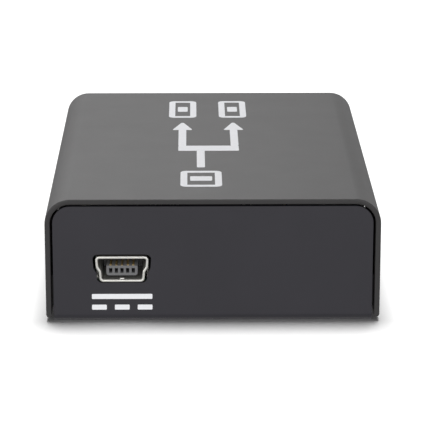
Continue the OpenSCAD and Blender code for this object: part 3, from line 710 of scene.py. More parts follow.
def make_cover(case):
    """Folded cover with its socket openings and lamp windows"""
    sheet, ink, gap, radius = mm(case, "sheet", "ink", "port_gap", "window_radius")
    low, high = box_of("top_cover")
    low.x += ink
    high -= Vector((ink, 0, ink))
    cover = block("cover_sheet", low, high)
    with editing(cover, "FACE", lambda f: abs(f.normal.y) > 0.5 or f.normal.z < -0.5):
        bpy.ops.mesh.delete(type="FACE")
    round_edges(cover, mm(case, "bend"), 14, lambda e: runs(e, 1) and e.verts[0].co.z > high.z - NEAR)
    modify(cover, "SOLIDIFY", thickness=sheet, offset=-1, use_even_offset=True)

    def outer_foot(edge):
        start = edge.verts[0].co
        return runs(edge, 1) and start.z < low.z + NEAR and abs(start.x) > high.x - NEAR

    round_edges(cover, mm(case, "skirt"), 4, outer_foot)
    soften(cover, mm(case, "edge"), 3)
    video = settings("video")
    opening = grown(mouth(video), mm(video, "wall") + gap)
    for place, turn in video_places().values():
        cut(cover, placed(prism("port", opening, -3 * sheet, 3 * sheet, corner=0.9), place, turn))
    for node in ("power_led", "link_leds"):
        for lamp_low, lamp_high in solids(node):
            spot = middle(lamp_low, lamp_high)
            spot.x = high.x
            cut(cover, drum("window", spot, radius, 4 * sheet, "X"))
    soften(cover, mm(case, "port_edge"))
    settle(coat(cover, "cover_paint"), "cover", "top_cover")


def make_tray(case):
    """Folded tray with its two end panels, the inlet opening and the pressed-in screw places"""
    sheet, gap = mm(case, "sheet", "port_gap")
    low, high = box_of("bottom_tray")
    tray = block("tray_sheet", low, high)
    with editing(tray, "FACE", lambda f: abs(f.normal.x) > 0.5 or f.normal.z > 0.5):
        bpy.ops.mesh.delete(type="FACE")
    round_edges(tray, mm(case, "foot_bend"), 6, lambda e: runs(e, 0) and e.verts[0].co.z < low.z + NEAR)
    with editing(tray, "VERT", lambda v: v.co.z > high.z - NEAR):
        bpy.ops.mesh.bevel(offset=mm(case, "panel_corner"), segments=10, affect="VERTICES")
    modify(tray, "SOLIDIFY", thickness=sheet, offset=-1, use_even_offset=True)
    inlet = settings("inlet")
    wall, lip_gap = mm(inlet, "wall", "lip_gap")
    opening = [(x, max(z, -lip_gap)) for x, z in grown(mouth(inlet), wall + gap)]
    cut(tray, placed(prism("port", opening, -3 * sheet, 6 * sheet, corner=0.7), inlet_place()))
    screw_low, screw_high = solids("cover_screws")[0]
    head = (screw_high.x - screw_low.x) / 2
    below = 1.0
    depth = 0.95
    mouth_radius = head + 0.2
    sink = [(0, -below), (mouth_radius + below, -below), (mouth_radius - depth, depth), (0, depth)]
    bore = 1.16
    dimple = [(bore, 0.6), (2.6, 0.6), (2.45, sheet), (1.95, 1.2), (bore, 1.28)]
    screws = [(foot.x, foot.y, 0) for foot in feet("cover_screws")]
    for spot in screws:
        cut(tray, lathe("countersink", sink, spot))
    peg_hole = 1.82
    for foot in feet("board_standoffs"):
        cut(tray, drum("peg_hole", (foot.x, foot.y, 0), peg_hole, THROUGH))
    soften(tray, mm(case, "edge"), 3)
    tray = joined("tray_sheet", [tray, *[lathe("dimple", dimple, spot) for spot in screws]])
    settle(coat(tray, "tray_paint"), "base", "bottom_tray")


def pointer(x, y, half, long):
    """Triangle that points towards +Y, or towards -Y where its length is negative"""
    return [(x - half, y), (x + half, y), (x, y + long)]


def digit(text, high, start, depth):
    """Digit that stands upright and faces -Y"""
    cap_share = 0.69
    only()
    bpy.ops.object.text_add(location=(0, 0, 0))
    written = bpy.context.object.data
    written.body = text
    written.size = high / cap_share
    written.extrude = depth / 2
    written.align_x = "CENTER"
    bpy.ops.object.convert(target="MESH")
    made = named("digit")
    made.rotation_euler = (QUARTER, 0, 0)
    made.location = (0, start + depth / 2, 0)
    bpy.ops.object.transform_apply(location=True, rotation=True, scale=True)
    return made


def top_marks(face, depth):
    """One-to-two fork between framed squares, up to the top face of the cover"""
    solid = [
        bar(-2.2, -15.2, -1.0, -5.6), bar(-5.0, -5.6, 4.2, -2.6),
        bar(-5.0, -2.6, -3.8, 7.2), bar(3.0, -2.6, 4.2, 7.2),
        pointer(-4.4, 7.2, 1.6, 5.2), pointer(3.6, 7.2, 1.6, 5.2),
        bar(-3.2, -22.6, 0.0, -20.2), bar(-5.2, 19.2, -3.6, 22.4), bar(2.8, 19.2, 4.4, 22.4),
    ]
    frames = [bar(-4.6, -25.8, 1.4, -17.2), bar(-6.6, 15.2, -2.2, 26.4), bar(1.4, 15.2, 5.8, 26.4)]
    marks = [prism("mark", points, face - depth, depth, "Z", 0.25, 3) for points in solid]
    return marks + [prism("mark", points, face - depth, depth, "Z", 0.9, 4, 1.0) for points in frames]


def panel_marks(face, depth):
    """Direct-current sign under the power inlet: a line over three dashes"""
    x = inlet_place().x
    half = 4.3
    dash = 1.05
    strokes = [bar(x - half, 3.25, x + half, 4.0)]
    strokes += [bar(x + c - dash, 1.65, x + c + dash, 2.4) for c in (dash - half, 0, half - dash)]
    return [prism("mark", points, face, depth, corner=0.12, steps=3) for points in strokes]


def side_marks(face, depth, high):
    """Pointers and digits over the sockets, and a power sign and digits over the lamps"""
    over_port = mm(settings("video"), "high") + 2.0
    over_lamp = 2.9
    marks = []
    for name, (place, turn) in video_places().items():
        if name == "video_in":
            signs = [prism("mark", pointer(0, high, 1.2, -high), face, depth)]
        else:
            signs = [prism("mark", pointer(1.4, 0, 1.2, high), face, depth)]
            signs.append(placed(digit(name[-1], high, face, depth), (-1.4, 0, 0)))
        marks += [placed(sign, (0, place.y, place.z + over_port), turn) for sign in signs]
    ring = arc(0.8, 125, 415, 20, 0, 0.8) + arc(0.55, 415, 125, 20, 0, 0.8)
    stroke = bar(-0.13, 0.85, 0.13, 1.75)
    signs = [[prism("mark", points, face, depth) for points in (ring, stroke)]]
    signs += [[digit(text, 0.8 * high, face, depth)] for text in "12"]
    for foot, sign in zip(feet("power_led") + feet("link_leds"), signs):
        marks += [placed(mark, (0, foot.y, foot.z + over_lamp), QUARTER) for mark in sign]
    return marks


def make_prints(case):
    """Generic white marks on the top, on the panel with the inlet and on the sides"""
    ink, high = mm(case, "ink", "digit")
    depth = 2 * ink
    corner = box_of("top_cover")[1]
    panel = box_of("bottom_tray")[0].y
    for name, body, marks in (
        ("cover_print", "cover", top_marks(corner.z, depth)),
        ("panel_print", "base", panel_marks(panel - ink, depth)),
        ("side_print", "cover", side_marks(-corner.x, depth, high)),
    ):
        settle(coat(joined(name, marks), "white_ink"), body)


# Screws and brackets


def thread(core, start, end, pitch):
    """Zigzag of a screw thread in a turned profile, from one height to another"""
    heights = [start + i * pitch for i in range(int((end - start) / pitch))]
    return [p for z in heights for p in ((core - 0.15, z + 0.15 * pitch), (core, z + 0.65 * pitch))]


def cross_recess(face, way, span, slot, depth):
    """Two tapered blades that cut a cross into a screw head, upwards or downwards from its face"""
    half = span / 2
    taper = [(-half, -0.5), (half, -0.5), (half, 0), (0.4 * half, depth), (-0.4 * half, depth), (-half, 0)]
    points = [(x, face + way * z) for x, z in taper]
    return [placed(prism("blade", points, -slot / 2, slot), (0, 0, 0), turn) for turn in (0, QUARTER)]


def turned_at(node, step):
    """Places at the feet of a node's solids, each turned a step further than the one before"""
    return [(foot, step * i) for i, foot in enumerate(feet(node))]


def make_cover_screws():
    """Countersunk screws in the underside"""
    low, high = solids("cover_screws")[0]
    head = (high.x - low.x) / 2
    tall = high.z - low.z
    core = 1.0
    neck = head - core + 0.08
    profile = [(0, 0), (head - 0.12, 0), (head, 0.1), (core, neck)]
    profile += thread(core, neck + 0.12, tall - 0.3, 0.28)
    profile += [(core - 0.14, tall - 0.15), (core - 0.35, tall), (0, tall)]
    screw = lathe("cover_screw", profile, (0, 0, 0))
    cut(screw, *cross_recess(0, 1, 1.9, 0.5, 0.5))
    soften(screw, 0.03, 1, 50)
    screws = copies("cover_screw_set", screw, turned_at("cover_screws", 0.4))
    settle(coat(screws, "zinc_plate"), "base", "cover_screws")


def make_brackets():
    """Bent brackets welded inside the cover, each with a threaded collar"""
    boxes = solids("cover_brackets")
    low, high = boxes[-1]
    size = high - low
    half = size.y / 2
    sheet = 0.8
    inner = size.x - sheet
    side = [(0, 0), (size.x, 0), (size.x, size.z), (inner, size.z), (inner, sheet), (0, sheet)]
    strip = prism("bracket", side, -half, size.y)
    for x, z, radius in ((size.x, 0, 0.9), (inner, sheet, 0.25)):
        bend = Vector((x, z))
        round_edges(strip, radius, 5, lambda e: runs(e, 1) and (e.verts[0].co.xz - bend).length < NEAR)
    tap = 1.05
    hole = Vector((feet("cover_screws")[-1].x - low.x, 0, 0))
    cut(strip, drum("tapping", hole, tap, THROUGH))
    soften(strip, 0.07)
    rim = sheet + 0.9
    ring = [
        (tap, 0.1), (1.6, 0.1), (1.7, sheet), (1.7, rim - 0.15),
        (1.6, rim), (tap + 0.1, rim), (tap, rim - 0.1),
    ]
    parts = [strip, lathe("collar", ring, hole)]
    weld = 0.75
    for y in (-half / 2, half / 2):
        parts.append(soften(drum("weld", (inner, y, 0.62 * size.z), weld, 0.06, "X", 24), 0.025))
    bracket = joined("bracket", parts)
    places = [
        ((a.x if a.x > 0 else b.x, middle(a, b).y, a.z), 0 if a.x > 0 else math.pi) for a, b in boxes
    ]
    brackets = copies("cover_bracket_set", bracket, places)
    settle(coat(brackets, "cover_paint"), "cover", "cover_brackets")


# Sockets


def contact(name, tip, back, z, foot, thick=0.15, width=0.28):
    """Contact strip that runs along a tongue, drops behind its block and ends in a foot on the board"""
    side = [
        (tip, z), (back, z), (back, 0), (back + foot, 0), (back + foot, thick),
        (back + thick, thick), (back + thick, z + thick), (tip, z + thick),
    ]
    return prism(name, side, -width / 2, width, "X", 0.05, 2)


def leg_places(socket):
    """Place across and along of each solder leg of a socket that faces -Y"""
    wide, wall, depth = mm(socket, "wide", "wall", "depth")
    x = (wide + wall) / 2
    from_mouth = 3.2
    from_back = 2.6
    return [(side * x, y) for side in (-1, 1) for y in (from_mouth, depth - from_back)]


def socket_shell(name, socket, reach=0.0):
    """Plated shell of a socket, facing -Y, and its solder legs. Its rim may stand out a little."""
    wall, depth, corner = mm(socket, "wall", "depth", "corner")
    shell = prism(name, grown(mouth(socket), wall), -reach, depth + reach, corner=corner, wall=wall)
    half = 0.6
    low = Vector((-wall / 2, -half, -2.2))
    high = Vector((wall / 2, half, 2.6))
    legs = []
    for x, y in leg_places(socket):
        spot = Vector((x, y, 0))
        legs.append(soften(block("leg", spot + low, spot + high), 0.08))
    return shell, legs


def socket_insulator(socket, upper, lower):
    """Block at the back of a socket, and the tongue before it with rounded upper and lower edges"""
    back, sink, wide, thick, z = mm(socket, "depth", "tongue_sink", "tongue_w", "tongue_t", "tongue_z")
    fit = 0.05
    deep = 3.0
    core = soften(prism("block", grown(mouth(socket), -fit), back - deep, deep, corner=0.4), 0.08)
    tongue = block("tongue", (-wide / 2, sink, z - thick / 2), (wide / 2, back - 2, z + thick / 2))
    round_edges(tongue, upper, 4, lambda e: runs(e, 1) and e.verts[0].co.z > z)
    round_edges(tongue, lower, 5, lambda e: runs(e, 1) and e.verts[0].co.z < z - thick / 2 + NEAR)
    return core, tongue


def contact_row(socket, count, z):
    """Row of contacts of a socket at a height"""
    depth, sink, pitch = mm(socket, "depth", "tongue_sink", "pitch")
    return row(contact("contacts", sink + 0.28, depth + 0.05, z, 1.2), count, pitch)


def make_video_sockets(video):
    """The three video sockets, modelled once and copied to their places"""
    wall, high, thick, z = mm(video, "wall", "high", "tongue_t", "tongue_z")
    shell, legs = socket_shell("shell", video, mm(video, "reach"))
    inner = 1.1
    outer = 1.45
    root = 2.8
    tip = 7.3
    end = tip + outer - inner
    for x in (-3.5, 3.5):
        finger = [
            (x - outer, root), (x - inner, root), (x - inner, tip), (x + inner, tip),
            (x + inner, root), (x + outer, root), (x + outer, end), (x - outer, end),
        ]
        cut(shell, prism("finger_slot", finger, wall + high - 0.2, 1.0, "Z"))
    shell = joined("shell", [soften(shell, 0.07), *legs])
    core, tongue = socket_insulator(video, 0.3, 0.3)
    insulator = joined("insulator", [soften(tongue, 0.12), core])
    upper = contact_row(video, 10, z + thick / 2 - 0.12)
    lower = contact_row(video, 9, z - thick / 2 - 0.03)
    contacts = joined("contacts", [upper, lower])
    pieces = {
        "shell": coat(shell, "nickel_plate"),
        "insulator": coat(insulator, "black_resin"),
        "contacts": coat(contacts, "gold_plate"),
    }
    for part, piece in pieces.items():
        for name, (place, turn) in video_places().items():
            made = copied(piece, place, turn)
            made.name = f"{name}_{part}_dressed"
            settle(made, "base", f"{name}_{part}")
        bpy.data.objects.remove(piece)


def make_power_inlet(inlet):
    """Power inlet with five windows in the tip of its tongue"""
    wall, pitch, sink, thick, z = mm(inlet, "wall", "pitch", "tongue_sink", "tongue_t", "tongue_z")
    place = inlet_place()
    shell, legs = socket_shell("inlet_shell", inlet)
    dent = [(-0.42, wall - 0.1), (0.42, wall - 0.1), (0.25, wall + 0.07), (-0.25, wall + 0.07)]
    detent = soften(prism("detent", dent, 0.6, 0.6, corner=0.1), 0.05)
    shell = coat(joined("inlet_shell", [soften(shell, 0.09, 3), detent, *legs]), "nickel_plate")
    settle(placed(shell, place), "base", "power_inlet_shell")
    core, tongue = socket_insulator(inlet, 0.17, 0.4)
    half = Vector((0.23, 0, 0.35))
    for i in range(-2, 3):
        front = Vector((pitch * i, sink - 0.5, z))
        back = Vector((pitch * i, sink + 3, z))
        cut(tongue, block("window", front - half, back + half))
    insulator = coat(joined("inlet_insulator", [soften(tongue, 0.05), core]), "grey_resin")
    settle(placed(insulator, place), "base", "power_inlet_insulator")
    contacts = coat(contact_row(inlet, 5, z + thick / 2 - 0.12), "gold_plate")
    contacts.name = "inlet_contacts"
    settle(placed(contacts, place), "base", "power_inlet_contacts")


# Circuit board


def make_board(board):
    """Circuit board with routed notches, screw holes and bare cut edges"""
    gap, radius = mm(board, "notch_gap", "hole_radius")
    low, high = box_of("circuit_board")
    bracket = solids("cover_brackets")[-1][0]
    x = bracket.x - gap
    y = bracket.y - gap
    right = [(x, -high.y), (x, -y), (high.x, -y), (high.x, y), (x, y), (x, high.y)]
    outline = right + [(-u, v) for u, v in reversed(right)]
    plate = prism("board", outline, low.z, high.z - low.z, "Z", 0.35, 4)
    for foot in feet("board_screws"):
        cut(plate, drum("hole", (foot.x, foot.y, low.z), radius, THROUGH))
    coat(soften(plate, 0.05, 1), "solder_mask", "laminate_edge")
    coat_faces(plate, 1, lambda f: abs(f.normal.z) < 0.3)
    settle(plate, "base", "circuit_board")


def signal_runs():
    """Corner points of the tracks between the video sockets and the splitter chip"""
    low, high = box_of("splitter_chip")
    chip = middle(low, high)
    feet_back = 12.7
    pitch = 0.5
    found = []
    for name, (place, turn) in video_places().items():
        side = 1 if turn > 0 else -1
        foot = place.x - side * feet_back
        lead = chip.x + side * ((high.x - low.x) / 2 - 0.5)
        # Each end holds a place along the socket, a place along the chip and the way from foot to knee
        if name == "video_in":
            ends = [((i - 7.5) * pitch, (i - 7.5) * pitch, 0.45 + 0.2 * (15 - i)) for i in range(16)]
        else:
            near = 1 if place.y > chip.y else -1
            ends = [(near * (i - 3.5), near * (i + 0.5) * pitch, 0.6 + 0.25 * (7 - i)) for i in range(8)]
        for start, end, reach in ends:
            knee = foot - side * reach
            y0 = place.y + start
            y1 = chip.y + end
            found.append([(foot + side, y0), (knee, y0), (knee, y1), (lead, y1)])
    return found


def socket_pads(socket, count, pitch, place, turn, copper):
    """Pads under the feet of a socket's contacts and round its legs"""
    depth = mm(socket, "depth")
    half = copper / 2
    side = PAD / 2
    strip = row(block("pad", (-side, depth + 0.05, -half), (side, depth + 1.5, half)), count, pitch)
    pads = [strip]
    for x, y in leg_places(socket):
        pads.append(prism("pad", [(x + v, y + u) for u, v in round_bar(2.3, 1.3)], -half, copper, "Z"))
    return [placed(pad, place, turn) for pad in pads]


def make_tracks(board):
    """Tracks to the splitter chip, pads under feet, legs and screws, and lines round the parts"""
    copper, width, line = mm(board, "copper", "track", "line")
    low = board_top() - copper / 2
    high = low + copper
    half = width / 2
    bars = []
    for points in signal_runs():
        for (x0, y0), (x1, y1) in zip(points, points[1:]):
            near = (min(x0, x1) - half, min(y0, y1) - half, low)
            bars.append(block("track", near, (max(x0, x1) + half, max(y0, y1) + half, high)))
    settle(coat(joined("board_tracks", bars), "mask_over_copper"), "base", None)
    video = settings("video")
    inlet = settings("inlet")
    pads = socket_pads(inlet, 5, mm(inlet, "pitch"), inlet_place(), 0, copper)
    for place, turn in video_places().values():
        pads += socket_pads(video, 19, mm(video, "pitch") / 2, place, turn, copper)
    chip = middle(*box_of("splitter_chip"))
    for turn in range(4):
        strip = row(block("pad", (-PAD / 2, -6.3, low), (PAD / 2, -5.2, high)), 16, 0.5)
        pads.append(placed(strip, (chip.x, chip.y, 0), turn * QUARTER))
    for foot in feet("board_screws"):
        pads.append(lathe("ring", bar(1.45, low, 2.75, high), (foot.x, foot.y, 0)))
    settle(coat(joined("solder_pads", pads), "tinned_metal"), "base", None)
    ringed = ("splitter_chip", "control_chip", "memory_chip", "crystal", "power_inductor", "regulators")
    lines = []
    margin = 0.45
    for near, far in [box for node in (*ringed, "capacitor_bases") for box in solids(node)]:
        outline = bar(near.x - margin, near.y - margin, far.x + margin, far.y + margin)
        lines.append(prism("line", outline, low, copper, "Z", 0.2, 3, line))
    settle(coat(joined("board_marks", lines), "board_marking"), "base", None)


def make_hardware():
    """Pressed-in standoffs and the pan-head screws on them"""
    low, high = solids("board_standoffs")[0]
    tall = high.z - low.z
    outer = (high.x - low.x) / 2
    bore = 1.3
    spigot = 1.8
    shoulder = 0.65
    profile = [
        (bore, 0), (spigot, 0), (spigot, shoulder), (outer - 0.1, shoulder), (outer, shoulder + 0.1),
        (outer, tall - 0.2), (outer - 0.2, tall), (bore + 0.25, tall), (bore, tall - 0.25),
    ]
    pegs = copies("standoff_set", lathe("standoff", profile, (0, 0, 0)), turned_at("board_standoffs", 0))
    settle(coat(pegs, "zinc_plate"), "base", "board_standoffs")
    low, high = solids("board_screws")[0]
    tall = high.z - low.z
    head = (high.x - low.x) / 2
    seat = tall - 1.7
    core = 1.25
    profile = [(0, 0), (core - 0.3, 0), (core - 0.15, 0.2), *thread(core, 0.3, seat - 0.1, 0.4)]
    profile += [(core, seat), (head - 0.06, seat), (head, seat + 0.1)]
    dome = 0.95
    profile += [(x, tall - dome + dome * z) for x, z in arc(dome, 0, 90, 6, head - dome)[1:]]
    profile.append((0, tall))
    screw = lathe("board_screw", profile, (0, 0, 0))
    cut(screw, *cross_recess(tall, -1, 2.3, 0.6, 0.9))
    soften(screw, 0.04, 1, 50)
    screws = copies("board_screw_set", screw, turned_at("board_screws", 0.5))
    settle(coat(screws, "zinc_plate"), "base", "board_screws")


# Parts on the board


def chip_body(body, mark):
    """Moulded chip body over Z 0, tapered above and below its parting line, with a dimple at one corner"""
    x, y, z = body
    made = block("body", (-x / 2, -y / 2, 0.1), (x / 2, y / 2, z))
    with editing(made, "FACE"):
        bpy.ops.mesh.bisect(plane_co=(0, 0, z / 2), plane_no=(0, 0, 1))
    with editing(made, "FACE", lambda f: abs(f.normal.z) > 0.9):
        bpy.ops.transform.resize(value=(1 - 0.2 / x, 1 - 0.2 / y, 1), center_override=(0, 0, 0))
    if mark:
        cut(made, drum("pip", (-x / 2 + 3 * mark, y / 2 - 3 * mark, z), mark, 0.16, "Z", 24))
    return coat(soften(made, 0.05, 2, 25), "black_resin")


def lead_row(count, pitch, width, body_w, body_h):
    """Row of bent leads along X that reach towards -Y"""
    thick = 0.15
    root = -body_w / 2 + 0.1
    tip = -body_w / 2 - 1.0
    knee = tip + 0.55
    top = body_h / 2
    side = [
        (tip, 0), (knee + thick, 0), (knee + thick, top - thick), (root, top - thick),
        (root, top), (knee, top), (knee, thick), (tip, thick),
    ]
    return coat(row(prism("lead", side, -width / 2, width, "X", 0.06, 2), count, pitch), "tinned_metal")


def make_chip(name, node, body, rows, mark=0.0):
    """A chip at each solid of its node. rows holds turn, count, pitch and width of each row of leads."""
    parts = [chip_body(body, mark)]
    for turn, count, pitch, width in rows:
        across = body[1] if turn in (0, 2) else body[0]
        parts.append(placed(lead_row(count, pitch, width, across, body[2]), (0, 0, 0), turn * QUARTER))
    chips = copies(name, joined("chip", parts), turned_at(node, 0))
    settle(chips, "base", node)


def make_chips():
    """Splitter, control and memory chips, regulators and input diode"""
    ends = (0, 2)
    sides = (0, 1, 2, 3)
    make_chip("splitter_chip_set", "splitter_chip", (10, 10, 1.4), [(t, 16, 0.5, 0.25) for t in sides], 0.45)
    make_chip("control_chip_set", "control_chip", (6.5, 4.4, 1.2), [(t, 10, 0.65, 0.25) for t in ends], 0.3)
    make_chip("memory_chip_set", "memory_chip", (4.9, 3.9, 1.4), [(t, 4, 1.27, 0.4) for t in ends], 0.3)
    make_chip("regulator_set", "regulators", (6.5, 3.5, 1.6), [(0, 3, 2.3, 0.75), (2, 1, 0, 3.0)])
    make_chip("input_diode_set", "input_diode", (2.6, 2, 2), [(t, 1, 0, 1.4) for t in ends])


def make_crystal():
    """Crystal in a drawn can on a flanged base"""
    low, high = box_of("crystal")
    tall = high.z - low.z
    seam = 0.85
    can = prism("can", round_bar(10.2, 3.8), seam, tall - seam, "Z")
    round_edges(can, 0.45, 4, lambda e: all(v.co.z > tall - NEAR for v in e.verts))
    base = soften(prism("base", round_bar(11.1, 4.7), 0.1, 0.8, "Z"), 0.12)
    tabs = soften(block("tabs", (-5.825, -0.275, 0), (5.825, 0.275, 0.2)), 0.05, 1)
    crystal = coat(joined("crystal_dressed", [can, base, tabs]), "steel_can")
    settle(placed(crystal, feet("crystal")[0]), "base", "crystal")


def make_inductor():
    """Ferrite block with a wound drum in its well"""
    low, high = box_of("power_inductor")
    size = high - low
    core = block("core", (-size.x / 2, -size.y / 2, 0), (size.x / 2, size.y / 2, size.z))
    round_edges(core, 0.7, 3, lambda e: runs(e, 2))
    cut(core, drum("well", (0, 0, size.z), 2.1, 1.4))
    post = soften(drum("post", (0, 0, size.z - 0.85), 1.8, 1.3), 0.08)
    ferrite = coat(joined("core", [soften(core, 0.08), post]), "ferrite")
    coil = [(1.75, size.z - 0.75), *thread(2.06, size.z - 0.7, size.z - 0.3, 0.13), (1.75, size.z - 0.3)]
    winding = coat(lathe("winding", coil, (0, 0, 0)), "enamelled_copper")
    inductor = placed(joined("inductor_dressed", [ferrite, winding]), feet("power_inductor")[0])
    settle(inductor, "base", "power_inductor")


def make_capacitors():
    """Round capacitors: moulded bases with two cut corners, and rolled cans with a dark segment on top"""
    low, high = solids("capacitor_bases")[0]
    half = (high.x - low.x) / 2
    trim = half - 1.1
    corners = [(-half, -half), (half, -half), (half, trim), (trim, half), (-trim, half), (-half, trim)]
    foot = soften(prism("foot", corners, 0, high.z - low.z, "Z"), 0.12)
    tabs = block("tabs", (-0.35, -half, 0), (0.35, half, 0.12))
    foot = joined("foot", [coat(foot, "black_resin"), coat(tabs, "tinned_metal")])
    bases = copies("capacitor_base_set", foot, turned_at("capacitor_bases", 0))
    settle(bases, "base", "capacitor_bases")
    low, high = solids("capacitor_cans")[0]
    radius = (high.x - low.x) / 2
    tall = high.z - low.z
    groove = radius - 0.2
    lid = tall - 0.06
    profile = [
        (0, 0), (radius - 0.1, 0), (radius, 0.12), (radius, 0.25), (groove, 0.42), (groove, 0.55),
        (radius, 0.75), (radius, tall - 0.3), (radius - 0.09, tall - 0.09), (radius - 0.3, tall),
        (radius - 0.42, lid), (0, lid),
    ]
    can = coat(lathe("can", profile, (0, 0, 0), 48), "aluminium_can")
    segment = prism("segment", arc(radius - 0.45, 218, 322, 12), lid - 0.005, 0.02, "Z")
    can = joined("can", [can, coat(segment, "black_ceramic")])
    cans = copies("capacitor_can_set", can, turned_at("capacitor_cans", 0))
    settle(cans, "base", "capacitor_cans")


def ended_part(long, wide, tall, body):
    """Small part along X with tinned ends"""
    end = 0.28 * long
    made = block("part", (-long / 2, -wide / 2, 0), (long / 2, wide / 2, tall))
    for x in (-end, end):
        with editing(made, "FACE"):
            bpy.ops.mesh.bisect(plane_co=(x, 0, 0), plane_no=(1, 0, 0))
    coat(soften(made, 0.05), body, "tinned_metal")
    coat_faces(made, 1, lambda f: abs(f.center.x) > end)
    return made


def surge_array(long, wide, tall, body):
    """Surge array along X with four pads on each long side"""
    moulding = soften(block("array", (-long / 2, -wide / 2, 0), (long / 2, wide / 2, tall)), 0.06)
    pad = block("pads", (-0.15, -wide / 2 - 0.08, 0), (0.15, wide / 2 + 0.08, 0.12))
    return joined("array", [coat(moulding, body), coat(row(pad, 4, 0.55), "tinned_metal")])


def make_small_parts():
    """Fuse, resistors, ceramic capacitors and surge arrays. Parts of one size share a model."""
    for node, name, body, make in (
        ("input_fuse", "input_fuse_set", "green_resin", ended_part),
        ("chip_resistors", "resistor_set", "black_ceramic", ended_part),
        ("ceramic_capacitors", "ceramic_set", "tan_ceramic", ended_part),
        ("surge_arrays", "surge_array_set", "black_resin", surge_array),
    ):
        places = {}
        for (low, high), foot in zip(solids(node), feet(node)):
            x, y, z = [round(length_along, 2) for length_along in high - low]
            turn = QUARTER if y > x else 0
            places.setdefault((max(x, y), min(x, y), z), []).append((foot, turn))
        parts = [copies(name, make(*size, body), spots) for size, spots in places.items()]
        settle(joined(name, parts), "base", node)


def make_lamps():
    """Side-facing lamps: a pale body, tinned ends and a domed lens behind its window"""
    for node, name, lens in (
        ("power_led", "power_lamp", "red_lens"),
        ("link_leds", "link_lamps", "green_lens"),
    ):
        boxes = solids(node)
        size = boxes[0][1] - boxes[0][0]
        deep = 0.9
        half = size.y / 2
        body = soften(block("body", (0, -half, 0), (deep, half, size.z)), 0.08)
        parts = [coat(body, "white_resin")]
        wrap = 0.02
        for y in (-half + 0.18, half - 0.18):
            cap = block("cap", (-wrap, y - 0.2, -wrap / 2), (deep + wrap, y + 0.2, size.z + wrap))
            parts.append(coat(soften(cap, 0.06), "tinned_metal"))
        only()
        bpy.ops.mesh.primitive_uv_sphere_add(segments=32, ring_count=16, radius=size.x - deep)
        dome = placed(named("dome"), (deep, 0, size.z / 2))
        with editing(dome, "VERT", lambda v: v.co.x < deep - 0.1):
            bpy.ops.mesh.delete(type="VERT")
        with editing(dome, "EDGE", lambda e: e.is_boundary):
            bpy.ops.mesh.edge_face_add()
        parts.append(coat(dome, lens))
        places = [((low.x, middle(low, high).y, low.z), 0) for low, high in boxes]
        settle(copies(name, joined("lamp", parts), places), "base", node)


# Stage


def make_floor(stage):
    """White floor. The camera sees it with its shadow, and the object sees an even glow."""
    only()
    bpy.ops.mesh.primitive_plane_add(size=6, location=(0, 0, 0))
    floor = named("floor")
    made = bpy.data.materials.new("pale_floor")
    made.use_nodes = True
    tree = made.node_tree
    tree.nodes.remove(tree.nodes["Principled BSDF"])
    wire = Wire(tree)
    seen = wire.node("LightPath", {}, {}, "Is Camera Ray")
    paint = wire.node("BsdfDiffuse", {}, {"Color": (1, 1, 1, 1)})
    glow = wire.node("Emission", {}, {"Strength": stage.floor_glow})
    surface = wire.node("MixShader", {}, {0: seen, 1: glow, 2: paint})
    feed(tree, tree.nodes["Material Output"], {"Surface": surface})
    floor.data.materials.append(made)
    return floor


def make_world(stage):
    """Surroundings: white where they are seen or mirrored, and a weak light elsewhere"""
    world = bpy.data.worlds.new("studio")
    world.use_nodes = True
    bpy.context.scene.world = world
    tree = world.node_tree
    wire = Wire(tree)
    camera, glossy, clear = [
        wire.node("LightPath", {}, {}, f"Is {kind} Ray") for kind in ("Camera", "Glossy", "Transmission")
    ]
    shown = wire.sum("MINIMUM", camera + glossy + clear, 1.0)
    strength = stage.sky + (1.0 - stage.sky) * shown
    feed(tree, tree.nodes["Background"], {"Color": (1, 1, 1, 1), "Strength": strength})


def receivers(floor, name, state):
    """Collection that lets a lamp light the floor alone, or all but the floor"""
    made = bpy.data.collections.new(name)
    made.objects.link(floor)
    made.collection_objects[0].light_linking.link_state = state
    return made


def lamp(name, place, size, power, lit):
    """Soft lamp that points at the object and lights what its receivers let it light"""
    data = bpy.data.lights.new(name, "AREA")
    data.shape = "RECTANGLE"
    data.size, data.size_y = size
    data.energy = power
    made = bpy.data.objects.new(name, data)
    bpy.context.scene.collection.objects.link(made)
    made.location = place
    made.rotation_euler = (-Vector(place)).to_track_quat("-Z", "Y").to_euler()
    made.visible_camera = False
    made.light_linking.receiver_collection = lit


def make_camera(stage):
    """Camera where the photograph was taken from"""
    data = bpy.data.cameras.new("camera")
    data.lens = stage.lens
    data.sensor_width = 36.0
    data.clip_start = 0.01
    data.clip_end = 20.0
    camera = bpy.data.objects.new("camera", data)
    bpy.context.scene.collection.objects.link(camera)
    camera.location = (stage.camera_x, stage.camera_y, stage.camera_z)
    camera.rotation_euler = (QUARTER - stage.pitch, 0, -stage.yaw)
    bpy.context.scene.camera = camera
    bpy.context.scene.view_settings.view_transform = "Standard"


def make_stage(stage):
    """Floor, surroundings, lamps and camera. The roof lamp lights the floor alone, the others spare it."""
    floor = make_floor(stage)
    make_world(stage)
    floor_alone = receivers(floor, "floor_alone", "INCLUDE")
    all_but_floor = receivers(floor, "all_but_floor", "EXCLUDE")
    lamp("roof_lamp", (0, 0.19, 1.0), (0.45, 0.42), stage.roof, floor_alone)
    lamp("rear_lamp", (-0.1, 0.2, 0.22), (0.3, 0.17), stage.rear, all_but_floor)
    lamp("front_lamp", (-0.15, -1.0, 0.42), (1.8, 0.8), stage.front, all_but_floor)
    lamp("left_lamp", (-0.9, -0.2, 0.4), (0.9, 0.9), stage.side, all_but_floor)
    lamp("right_lamp", (0.9, -0.1, 0.4), (0.9, 0.9), stage.side, all_but_floor)
    make_camera(stage)


# Operators, panel and registration


